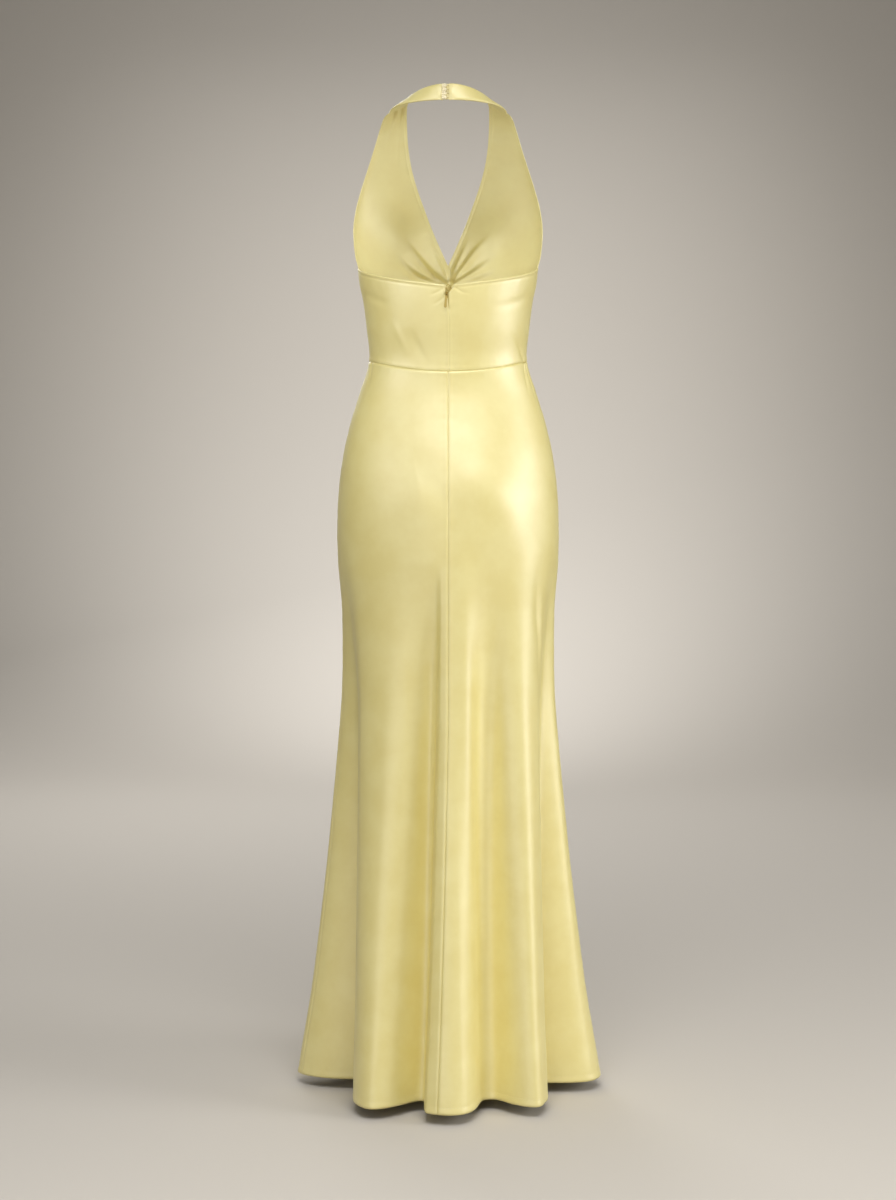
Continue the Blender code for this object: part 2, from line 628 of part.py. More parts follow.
def main():
    clear_scene()
    bpy.context.scene.collection.children.link(bpy.data.collections.new(COLLECTION))
    skirt_panel("skirt_back_right", 0, 90, SKIRT_BACK_COLUMNS)
    skirt_panel("skirt_front", 90, 270, SKIRT_FRONT_COLUMNS)
    skirt_panel("skirt_back_left", 270, 360, SKIRT_BACK_COLUMNS)
    back_piece("back_bodice_right", 1)
    back_piece("back_bodice_left", -1)
    front_piece("front_bodice_right", 1)
    front_piece("front_bodice_left", -1)
    neck_band("neck_band_right", 1, BAND_END_RIGHT)
    neck_band("neck_band_left", -1, BAND_END_LEFT)
    neck_underlap()
    nape_fastening()
    back_fastening()
    zip_tape()
    zip_slider()
    pull_tab()


main()
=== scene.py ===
"""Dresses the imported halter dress: its satin with folds, gathers, seams and hems, its fastenings, a studio.

Everything is in metres in the frame of the CAD model: the origin at the nape, +X to the wearer's right, +Y
forwards and +Z up, so the open back faces -Y and the camera.
"""

import logging
import math
from collections.abc import Callable, Iterable, Sequence
from dataclasses import dataclass, field
from enum import Enum

import bpy
import numpy as np
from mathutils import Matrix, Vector


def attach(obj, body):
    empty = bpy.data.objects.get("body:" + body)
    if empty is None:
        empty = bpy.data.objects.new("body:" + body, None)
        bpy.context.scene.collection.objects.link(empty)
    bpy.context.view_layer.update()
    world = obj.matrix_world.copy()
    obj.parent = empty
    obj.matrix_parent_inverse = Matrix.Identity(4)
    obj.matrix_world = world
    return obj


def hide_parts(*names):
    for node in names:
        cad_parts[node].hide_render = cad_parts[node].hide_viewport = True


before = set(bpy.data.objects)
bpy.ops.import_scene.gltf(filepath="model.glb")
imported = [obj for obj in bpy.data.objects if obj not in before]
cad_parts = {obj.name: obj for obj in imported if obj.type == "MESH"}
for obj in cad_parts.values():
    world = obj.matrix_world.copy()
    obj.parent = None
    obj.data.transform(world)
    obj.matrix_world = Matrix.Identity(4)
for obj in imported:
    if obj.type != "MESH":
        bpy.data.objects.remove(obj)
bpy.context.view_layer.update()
LOG = logging.getLogger("halter_dress")

DRESS_BODY = "dress"
AXIS_Y = 0.0751  # the wearer's upright axis is this far in front of the nape
SIDE_SEAM_TOP = -0.2520
BACK_TOP = -0.2874
WAIST_SIDE = -0.3950
WAIST_BACK = -0.4135
WAIST_FRONT = -0.4010
ZIP_END = -0.5960
HEM = -1.5010
HIP = -0.6450
CLOTH = 0.0011  # satin with its facing
SEWN_GAP = 0.00003  # from a sewn edge to the seam's middle
STEP_ANGLE = 0.25  # degrees, the step that normals are taken from
STEP_HEIGHT = 0.003
BACKWARDS = np.array((0, -1.0, 0))
SIDES = {"right": 1, "left": -1}  # the wearer's, by the sign of x

# The waves of a pucker: their pitch, phase and size
PUCKERS = ((1.0, 0.4, 0.40), (0.61, 2.1, 0.35), (1.73, 4.4, 0.22), (0.29, 1.2, 0.45))


class Hold(Enum):
    HUNG = "hung"
    GATHERED = "gathered"
    STRETCHED = "stretched"


class Edge(Enum):
    """The four edges of a cloth grid, seen from outside."""

    TOP = "top"
    BOTTOM = "bottom"
    LEFT = "left"
    RIGHT = "right"


class Make(Enum):
    """How an edge of the cloth is finished."""

    SEWN = "sewn to its neighbour"
    ROLLED = "turned and rolled"
    NARROW = "narrow turned edge"
    HEMMED = "hem stitched 10 mm up"
    ZIPPED = "sewn to the concealed zip"


# The ridges and grooves beside an edge: their height, distance from the edge and width
EDGE_SHAPES = {
    Make.SEWN: ((-0.0005, 0, 0.0013), (0.0002, 0.0040, 0.0025)),
    Make.ZIPPED: ((-0.0014, 0, 0.0010), (0.0003, 0.0030, 0.0022)),
    Make.ROLLED: ((0.0006, 0.0018, 0.0016), (-0.0007, 0, 0.0008), (-0.0003, 0.0055, 0.0018)),
    Make.NARROW: ((0.0003, 0.0020, 0.0020), (-0.0004, 0.0055, 0.0012)),
    Make.HEMMED: ((0.0005, 0.0045, 0.0035), (-0.0006, 0.0102, 0.0012)),
}


def srgb(code: str) -> tuple[float, float, float, float]:
    """Turns an sRGB hex colour into a linear one.

    Args:
        code: six hex digits.

    Returns:
        Red, green, blue and alpha.
    """
    parts = [int(code[i : i + 2], 16) / 255 for i in (0, 2, 4)]
    linear = [c / 12.92 if c <= 0.04045 else ((c + 0.055) / 1.055) ** 2.4 for c in parts]
    return (linear[0], linear[1], linear[2], 1.0)


def add_node(tree: bpy.types.NodeTree, kind: str, settings: dict, links: dict) -> bpy.types.Node:
    """Adds a node with its settings and links.

    Args:
        tree: the node tree.
        kind: the node's type name.
        settings: attributes by name, and socket values by "in:" and the socket's name or number.
        links: the sockets that feed the node, by the name or number of its own socket.

    Returns:
        The new node.
    """
    node = tree.nodes.new(kind)
    for name, value in settings.items():
        if name.startswith("in:"):
            key = name[3:]
            node.inputs[int(key) if key.isdigit() else key].default_value = value
        else:
            setattr(node, name, value)
    for name, source in links.items():
        tree.links.new(source, node.inputs[int(name) if name.isdigit() else name])
    return node


def ease(t: np.ndarray | float) -> np.ndarray:
    """Goes from 0 to 1 with a level start and end."""
    t = np.clip(t, 0.0, 1.0)
    return t * t * (3 - 2 * t)


def bump(distance: np.ndarray, middle: float, width: float) -> np.ndarray:
    """A smooth bump of height 1 at a distance from an edge."""
    return np.exp(-(((distance - middle) / width) ** 2))


def between(t: np.ndarray, step: np.ndarray, values: tuple, slopes: tuple) -> np.ndarray:
    """A smooth curve between two places.

    Args:
        t: how far along it is wanted, from 0 to 1.
        step: how far the two places are apart.
        values: the values at the first and the second.
        slopes: the slopes there.

    Returns:
        The values wanted.
    """
    start = (1 + 2 * t) * (1 - t) ** 2 * values[0] + t * (1 - t) ** 2 * step * slopes[0]
    end = t**2 * (3 - 2 * t) * values[1] + t**2 * (t - 1) * step * slopes[1]
    return start + end


def through(stations: Sequence[float], values: Sequence[float], at: np.ndarray) -> np.ndarray:
    """A smooth curve through values that are known at rising stations.

    Args:
        stations: where the values are known.
        values: the values.
        at: where they are wanted.

    Returns:
        The values there.
    """
    known, values = np.asarray(stations, float), np.asarray(values, float)
    at = np.clip(np.asarray(at, float), known[0], known[-1])
    slopes = np.gradient(values, known)
    i = np.clip(np.searchsorted(known, at, side="right") - 1, 0, len(known) - 2)
    step = known[i + 1] - known[i]
    t = (at - known[i]) / step
    return between(t, step, (values[i], values[i + 1]), (slopes[i], slopes[i + 1]))


def crowded(count: int, share: float) -> np.ndarray:
    """Places from 0 to 1 that stand closer together at both ends.

    Args:
        count: how many spaces there are.
        share: 0 for even spaces, towards 1 for closely spaced ends.

    Returns:
        count + 1 places.
    """
    t = np.linspace(0, 1, count + 1)
    return t - share * np.sin(2 * math.pi * t) / (2 * math.pi)


@dataclass(frozen=True)
class Section:
    """A level section: widths and depths from the wearer's axis to the cloth's outer face."""

    height: float
    half_width: float
    back: float
    front: float


@dataclass(frozen=True)
class Flute:
    """The top of a flute or the bottom of a trough: its angles and heights, and its reach at the hem."""

    begin_angle: float
    hem_angle: float
    reach: float
    begin_height: float
    growth: float = 1.35


@dataclass(frozen=True)
class Crease:
    """A soft fold along a path, drawn in the flat coordinates of its piece.

    A positive depth pushes the cloth out. The widths are those of its two sides, left and right of the path
    as it is followed, and the two strengths are those at its start and its end.
    """

    path: tuple[tuple[float, float], ...]
    depth: float
    widths: tuple[float, float]
    start: float = 0.0
    end: float = 0.0
    peak: float = 0.5

    def offset(self, s: np.ndarray, z: np.ndarray, flatten: Callable) -> np.ndarray:
        """How far it moves the cloth.

        Args:
            s: the grid's flat coordinate across.
            z: the grid's height.
            flatten: turns the path's points into flat coordinates.

        Returns:
            The offset at each point of the grid.
        """
        knots = np.array([flatten(a, b) for a, b in self.path])
        stations = np.linspace(0, 1, len(knots))
        t = np.linspace(0, 1, 8 * len(knots))
        line = np.stack([through(stations, knots[:, k], t) for k in (0, 1)], axis=1)
        reach = 3.2 * max(self.widths)
        near = (s > line[:, 0].min() - reach) & (s < line[:, 0].max() + reach)
        near &= (z > line[:, 1].min() - reach) & (z < line[:, 1].max() + reach)
        found = np.zeros(s.shape)
        if not near.any():
            return found
        p = np.stack([s[near], z[near]], axis=1)
        best = np.full(len(p), np.inf)
        where, side = np.zeros(len(p)), np.zeros(len(p))
        for i in range(len(line) - 1):
            a, d = line[i], line[i + 1] - line[i]
            u = np.clip(((p - a) @ d) / max(d @ d, 1e-12), 0, 1)
            off = p - a - u[:, None] * d
            far = np.hypot(off[:, 0], off[:, 1])
            closer = far < best
            best = np.where(closer, far, best)
            where = np.where(closer, (i + u) / (len(line) - 1), where)
            side = np.where(closer, np.sign(d[0] * off[:, 1] - d[1] * off[:, 0]), side)
        width = np.where(side > 0, self.widths[0], self.widths[1])
        rise = self.start + (1 - self.start) * ease(where / self.peak)
        fall = self.end + (1 - self.end) * ease((1 - where) / (1 - self.peak))
        found[near] = self.depth * np.exp(-((best / width) ** 2)) * rise * fall
        return found


@dataclass
class DressForm:
    """The form of the worn dress that all its pieces share: its sections, its waist and its flutes."""

    sections: tuple[Section, ...] = (
        Section(-0.252, 0.1374, 0.1050, 0.1045),
        Section(-0.276, 0.1350, 0.1042, 0.1030),
        Section(-0.300, 0.1300, 0.1028, 0.1005),
        Section(-0.346, 0.1240, 0.0960, 0.0970),
        Section(-0.394, 0.1205, 0.0860, 0.0940),
        Section(-0.438, 0.1335, 0.0860, 0.0955),
        Section(-0.484, 0.1480, 0.0970, 0.0990),
        Section(-0.530, 0.1590, 0.1110, 0.1035),
        Section(-0.576, 0.1660, 0.1215, 0.1070),
        Section(-0.645, 0.1700, 0.1275, 0.1100),
        Section(-0.714, 0.1685, 0.1260, 0.1100),
        Section(-0.760, 0.1645, 0.1235, 0.1090),
        Section(-0.830, 0.1633, 0.1210, 0.1080),
        Section(-0.900, 0.1646, 0.1210, 0.1080),
        Section(-0.993, 0.1718, 0.1250, 0.1120),
        Section(-1.086, 0.1806, 0.1320, 0.1200),
        Section(-1.180, 0.1903, 0.1420, 0.1320),
        Section(-1.274, 0.2015, 0.1550, 0.1460),
        Section(-1.369, 0.2140, 0.1690, 0.1610),
        Section(-1.464, 0.2300, 0.1860, 0.1780),
        Section(-1.501, 0.2360, 0.1920, 0.1850),
    )
    flutes: tuple[Flute, ...] = (
        Flute(3, 4.5, 0.019, -0.670, 0.95),
        Flute(22.5, 17.5, -0.043, -0.665, 0.90),
        Flute(46, 32, 0.013, -0.670, 0.95),
        Flute(61, 39, -0.004, -0.660),
        Flute(76, 58, -0.078, -0.660),
        Flute(86, 79, -0.006, -0.700),
        Flute(94, 94, 0.000, -0.800),
        Flute(112, 113, -0.046, -0.840),
        Flute(128, 130, 0.012, -0.820),
        Flute(144, 148, -0.040, -0.760),
        Flute(163, 165, 0.016, -0.760),
        Flute(180, 181, -0.014, -0.780),
        Flute(197, 196, 0.015, -0.760),
        Flute(215, 213, -0.038, -0.740),
        Flute(232, 230, 0.014, -0.820),
        Flute(249, 247, -0.050, -0.860),
        Flute(266, 266, 0.000, -0.800),
        Flute(286, 298, -0.100, -0.660),
        Flute(301, 326.5, 0.006, -0.660),
        Flute(322, 333, 0.013, -0.690, 1.1),
        Flute(353.8, 348.6, -0.043, -0.700, 0.85),
        Flute(357, 352.6, 0.012, -0.700, 0.95),
    )
    roundness: float = 0.7  # 0 for folds that level out at each flute, 1 for a curve through all of them
    drift_from: float = -0.950  # the centre back seam drifts from here
    drift_angle: float = -3.6  # to this angle at the hem

    def section(self, column: str, height: np.ndarray) -> np.ndarray:
        """A column of the sections' table at any height."""
        rows = self.sections[::-1]
        return through([r.height for r in rows], [getattr(r, column) for r in rows], height)

    def ring(self, angles: np.ndarray, heights: np.ndarray, out: np.ndarray | float = 0.0) -> np.ndarray:
        """Points round the plain form.

        Args:
            angles: degrees from the centre back towards the wearer's right.
            heights: heights above the nape.
            out: how far the points stand out from the form.

        Returns:
            An array of points.
        """
        sine, cosine = np.sin(np.radians(angles)), np.cos(np.radians(angles))
        width = self.section("half_width", heights)
        depth = np.where(cosine > 0, self.section("back", heights), self.section("front", heights))
        normal = np.stack([sine / width, -cosine / depth], axis=-1)
        normal /= np.linalg.norm(normal, axis=-1, keepdims=True)
        x = width * sine + normal[..., 0] * out
        y = AXIS_Y - depth * cosine + normal[..., 1] * out
        return np.stack(np.broadcast_arrays(x, y, heights), axis=-1)

    def flute_offset(self, angles: np.ndarray, heights: np.ndarray) -> np.ndarray:
        """How far the skirt stands in or out from the plain form."""
        grown, places = [], []
        for flute in self.flutes:
            share = np.clip((flute.begin_height - heights) / (flute.begin_height - HEM), 0, 1)
            places.append(flute.begin_angle + (flute.hem_angle - flute.begin_angle) * share)
            grown.append(flute.reach * share**flute.growth)
        places = np.stack([places[-2] - 360, places[-1] - 360, *places, places[0] + 360, places[1] + 360])
        grown = np.stack([grown[-2], grown[-1], *grown, grown[0], grown[1]])
        slopes = self.roundness * (grown[2:] - grown[:-2]) / (places[2:] - places[:-2])
        places, grown = places[1:-1], grown[1:-1]
        turned = np.mod(angles, 360)
        offset = np.zeros_like(heights)
        for i in range(len(places) - 1):
            inside = (turned >= places[i]) & (turned < places[i + 1])
            step = places[i + 1] - places[i]
            t = (turned - places[i]) / step
            curve = between(t, step, (grown[i], grown[i + 1]), (slopes[i], slopes[i + 1]))
            offset = np.where(inside, curve, offset)
        return offset

    def skirt(self, angles: np.ndarray, heights: np.ndarray) -> np.ndarray:
        """Points of the skirt, with its flutes."""
        return self.ring(angles, heights, self.flute_offset(angles, heights))

    @staticmethod
    def outward(surface: Callable, angles: np.ndarray, heights: np.ndarray) -> np.ndarray:
        """Outward unit normals of a surface of the form, from small steps round it and down it."""
        across = surface(angles + STEP_ANGLE, heights) - surface(angles - STEP_ANGLE, heights)
        down = surface(angles, heights - STEP_HEIGHT) - surface(angles, heights + STEP_HEIGHT)
        normals = np.cross(down, across)
        return normals / np.linalg.norm(normals, axis=-1, keepdims=True)

    def waist(self, angles: np.ndarray) -> np.ndarray:
        """The height of the waist seam, which dips towards the centre back and the centre front."""
        sine, cosine = np.sin(np.radians(angles)), np.cos(np.radians(angles))
        lowest = np.where(cosine > 0, WAIST_BACK, WAIST_FRONT)
        return lowest + (WAIST_SIDE - lowest) * sine**2

    def back_top(self, angles: np.ndarray) -> np.ndarray:
        """The height of the back's top edge, which rises from the zip to the side seams."""
        return BACK_TOP + (SIDE_SEAM_TOP - BACK_TOP) * (np.abs(angles) / 90) ** 1.25

    def unrolled(self, angle: float, height: float) -> tuple[float, float]:
        """The flat coordinates of a place on the form: the distance round it and the height."""
        turned = (angle + 180) % 360 - 180 if abs(angle) < 200 else angle - 360
        return float(np.radians(turned) * self.section("half_width", np.array(height))), height


FORM = DressForm()


@dataclass
class ClothGrid:
    """A sheet of cloth as a grid of points: rows run down and columns to the right, seen from outside."""

    points: np.ndarray
    normals: np.ndarray
    offset: np.ndarray = field(init=False)

    def __post_init__(self) -> None:
        """Starts with no offset."""
        self.offset = np.zeros(self.points.shape[:2])

    @staticmethod
    def facing(points: np.ndarray) -> np.ndarray:
        """Outward unit normals of a grid, from its own neighbours."""
        normal = np.cross(np.gradient(points, axis=0), np.gradient(points, axis=1))
        return normal / np.linalg.norm(normal, axis=-1, keepdims=True)

    def distance(self, edge: Edge) -> np.ndarray:
        """How far each point is from an edge, along the cloth.

        Args:
            edge: the edge to measure from.

        Returns:
            A distance for each point.
        """
        axis = 0 if edge in (Edge.TOP, Edge.BOTTOM) else 1
        steps = np.linalg.norm(np.diff(self.points, axis=axis), axis=-1)
        far = np.zeros(self.points.shape[:2])
        if axis == 0:
            far[1:] = np.cumsum(steps, axis=0)
        else:
            far[:, 1:] = np.cumsum(steps, axis=1)
        last = far[-1:] if axis == 0 else far[:, -1:]
        return far if edge in (Edge.TOP, Edge.LEFT) else last - far

    def finish_edge(self, edge: Edge, make: Make) -> None:
        """Shapes the cloth beside an edge.

        Args:
            edge: which edge.
            make: how it is finished.
        """
        far = self.distance(edge)
        for height, middle, width in EDGE_SHAPES[make]:
            self.offset += height * bump(far, middle, width)

    def pucker(self, edge: Edge, depth: float, pitch: float, reach: float = 0.004) -> None:
        """Adds the small uneven puckers that sewing pulls into the cloth beside an edge.

        Args:
            edge: the sewn edge.
            depth: their depth.
            pitch: about how far apart they are.
            reach: how far from the edge they are deepest.
        """
        far = self.distance(edge) / reach
        along = self.distance(Edge.LEFT if edge in (Edge.TOP, Edge.BOTTOM) else Edge.TOP) / pitch
        wave = sum(np.sin(2 * math.pi * along * k + turn) * size for k, turn, size in PUCKERS)
        self.offset += depth * wave * far * np.exp(1 - far)

    def crease(self, creases: Iterable[Crease], s: np.ndarray, flatten: Callable) -> None:
        """Adds creases.

        Args:
            creases: the folds.
            s: the grid's flat coordinate across.
            flatten: turns the folds' points into flat coordinates.
        """
        for fold in creases:
            self.offset += fold.offset(s, self.points[..., 2], flatten)

    def walls(self, thickness: float, sewn: Iterable[Edge]) -> tuple[np.ndarray, np.ndarray]:
        """The outer and the inner face, with a hair's gap left along sewn edges.

        Args:
            thickness: the cloth's thickness.
            sewn: the edges that meet a neighbour.

        Returns:
            Two grids of points.
        """
        outer = self.points + self.normals * self.offset[..., None]
        inner = outer - self.normals * thickness
        for grid in (outer, inner):
            views = {
                Edge.TOP: (grid[0], grid[1]),
                Edge.BOTTOM: (grid[-1], grid[-2]),
                Edge.LEFT: (grid[:, 0], grid[:, 1]),
                Edge.RIGHT: (grid[:, -1], grid[:, -2]),
            }
            for edge in sewn:
                rim, within = views[edge]
                way = within - rim
                rim += way / np.linalg.norm(way, axis=-1, keepdims=True) * SEWN_GAP
        return outer, inner


def mesh_from(
    name: str, points: np.ndarray, faces: np.ndarray, uvs: np.ndarray | None = None
) -> bpy.types.Mesh:
    """Makes a smooth mesh from points and four-sided faces.

    Args:
        name: the mesh's name.
        points: an array of points.
        faces: an array of four indices a face.
        uvs: a flat place for each point, if it has one.

    Returns:
        The mesh.
    """
    mesh = bpy.data.meshes.new(name)
    mesh.vertices.add(len(points))
    mesh.vertices.foreach_set("co", points.astype(np.float32).ravel())
    mesh.loops.add(faces.size)
    mesh.loops.foreach_set("vertex_index", faces.astype(np.int32).ravel())
    mesh.polygons.add(len(faces))
    mesh.polygons.foreach_set("loop_start", np.arange(0, faces.size, 4, dtype=np.int32))
    mesh.update(calc_edges=True)
    mesh.validate()
    if uvs is not None:
        layer = mesh.uv_layers.new(name="cloth")
        layer.data.foreach_set("uv", uvs[faces.ravel()].astype(np.float32).ravel())
    mesh.shade_smooth()
    return mesh


def wall_mesh(name: str, outer: np.ndarray, inner: np.ndarray) -> bpy.types.Mesh:
    """A closed cloth wall between two grids, with its flat place in metres as its UV map."""
    rows, columns = outer.shape[:2]
    count = rows * columns
    index = np.arange(count).reshape(rows, columns)
    a, b, c, d = index[:-1, :-1], index[1:, :-1], index[1:, 1:], index[:-1, 1:]
    front = np.stack([a, b, c, d], axis=-1).reshape(-1, 4)
    back = front[:, ::-1] + count
    rim = np.concatenate([index[0], index[1:, -1], index[-1, -2::-1], index[-2:0:-1, 0]])
    after = np.roll(rim, -1)
    sides = np.stack([rim, after, after + count, rim + count], axis=-1)
    down = np.zeros((rows, columns))
    down[1:] = np.cumsum(np.linalg.norm(np.diff(outer, axis=0), axis=-1), axis=0)
    along = np.zeros((rows, columns))
    along[:, 1:] = np.cumsum(np.linalg.norm(np.diff(outer, axis=1), axis=-1), axis=1)
    flat = np.stack([along.ravel(), -down.ravel()], axis=1)
    points = np.concatenate([outer.reshape(-1, 3), inner.reshape(-1, 3)])
    faces = np.concatenate([front, back, sides])
    mesh = mesh_from(name, points, faces, np.concatenate([flat, flat]))
    within = mesh.attributes.new("inner_face", "BOOLEAN", "FACE")
    within.data.foreach_set("value", (np.arange(len(faces)) // len(front)) == 1)
    return mesh


def show(
    name: str,
    mesh: bpy.types.Mesh,
    finish: bpy.types.Material,
    reverse: bpy.types.Material | None = None,
    body: str = DRESS_BODY,
) -> bpy.types.Object:
    """Puts a mesh in the scene with a material and lets it ride on a body.

    Args:
        name: the piece's name.
        mesh: its mesh.
        finish: its material.
        reverse: the material of a cloth wall's inner face, where it differs.
        body: the CAD body that it moves with.

    Returns:
        The piece.
    """
    mesh.materials.append(finish)
    if reverse is not None:
        mesh.materials.append(reverse)
        within = mesh.attributes["inner_face"].data
        flags = np.zeros(len(mesh.polygons), dtype=bool)
        within.foreach_get("value", flags)
        mesh.polygons.foreach_set("material_index", flags.astype(np.int32))
    piece = bpy.data.objects.new(name, mesh)
    bpy.context.scene.collection.objects.link(piece)
    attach(piece, body)
    LOG.info("%s: %d faces", name, len(mesh.polygons))
    return piece


@dataclass(frozen=True)
class Cut:
    """The flat cut of a sheet: its width and length, its area, and how it is held."""

    width: float
    length: float
    area: float
    hold: Hold
    rests_on: str

    def dress(self, node: str, walls: tuple[np.ndarray, np.ndarray], satin: "SatinPair") -> None:
        piece = show(f"{node}_satin", wall_mesh(node, *walls), satin.face, satin.reverse)
        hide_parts(node)


@dataclass(frozen=True)
class SatinPair:
    """The satin's face and its duller reverse, whose paler colour is partly the satin's own back and partly
    painted light on the shaded inside.
    """

    face: bpy.types.Material
    reverse: bpy.types.Material


@dataclass(frozen=True)
class SatinFinish:
    """Polyester satin with long floats on its face, which gives soft broad highlights down the folds."""

    name: str = "lemon_satin"
    pale: str = "E8DA8A"
    deep: str = "E3D37D"
    roughness: float = 0.50
    level: float = 0.85
    coat: float = 0.25
    blotch_mm: float = 45.0  # the size of the faint unevenness of the dye
    rib_mm: float = 0.9  # real threads are 0.15 mm apart, drawn this coarse so that they show at all

    def material(self) -> bpy.types.Material:
        """Makes the material."""
        made = bpy.data.materials.new(self.name)
        made.use_nodes = True
        tree = made.node_tree
        shader = tree.nodes["Principled BSDF"]
        place = add_node(tree, "ShaderNodeTexCoord", {}, {})
        uneven = add_node(
            tree,
            "ShaderNodeTexNoise",
            {"in:Scale": 1000 / self.blotch_mm, "in:Detail": 3.0, "in:Roughness": 0.6},
            {"Vector": place.outputs["Object"]},
        )
        spread = add_node(
            tree,
            "ShaderNodeMapRange",
            {"in:From Min": 0.35, "in:From Max": 0.65},
            {"Value": uneven.outputs["Fac"]},
        )
        dye = add_node(
            tree,
            "ShaderNodeMix",
            {"data_type": "RGBA", "in:6": srgb(self.deep), "in:7": srgb(self.pale)},
            {"0": spread.outputs["Result"]},
        )
        stretch = add_node(
            tree,
            "ShaderNodeMapping",
            {"in:Scale": (1.0, 0.06, 1.0)},
            {"Vector": place.outputs["UV"]},
        )
        threads = add_node(
            tree,
            "ShaderNodeTexNoise",
            {"in:Scale": 1000 / self.rib_mm, "in:Detail": 1.0},
            {"Vector": stretch.outputs["Vector"]},
        )
        relief = add_node(
            tree,
            "ShaderNodeBump",
            {"in:Strength": 0.06, "in:Distance": 0.0004},
            {"Height": threads.outputs["Fac"]},
        )
        tree.links.new(dye.outputs[2], shader.inputs["Base Color"])
        tree.links.new(relief.outputs["Normal"], shader.inputs["Normal"])
        shader.inputs["Roughness"].default_value = self.roughness
        shader.inputs["IOR"].default_value = 2.0
        shader.inputs["Specular IOR Level"].default_value = self.level
        shader.inputs["Sheen Weight"].default_value = 0.06
        shader.inputs["Sheen Roughness"].default_value = 0.5
        shader.inputs["Coat Weight"].default_value = self.coat
        shader.inputs["Coat Roughness"].default_value = 0.42
        return made


@dataclass(frozen=True)
class PlainFinish:
    """A finish of one colour: thread, cord, tape, enamel or plated wire."""

    name: str
    colour: str
    roughness: float
    metallic: float = 0.0
    coat: float = 0.0

    def material(self) -> bpy.types.Material:
        """Makes the material."""
        made = bpy.data.materials.new(self.name)
        made.use_nodes = True
        shader = made.node_tree.nodes["Principled BSDF"]
        shader.inputs["Base Color"].default_value = srgb(self.colour)
        shader.inputs["Roughness"].default_value = self.roughness
        shader.inputs["Metallic"].default_value = self.metallic
        shader.inputs["Coat Weight"].default_value = self.coat
        return made


# Mercerised cotton thread, soft and a shade paler than the satin
THREAD = PlainFinish("cotton_thread", "E6DBA6", 0.60)
# Covered cord of cut satin, paler than the dress, with a dull sheen
CORD = PlainFinish("covered_cord", "EFE4BE", 0.48)
# Gilt-plated steel wire, worn to a dull gold
GILT = PlainFinish("gilt_wire", "A48A45", 0.38, metallic=1.0)
# Enamelled zinc, an old gold that reads darker than the cloth
ENAMEL = PlainFinish("gold_enamel", "B79F52", 0.34, coat=0.3)
# Woven polyester tape, matt
TAPE = PlainFinish("zip_tape_weave", "C9B873", 0.75)
# Matt seamless paper, warm grey
PAPER = PlainFinish("seamless_paper", "C3BDB4", 0.9)


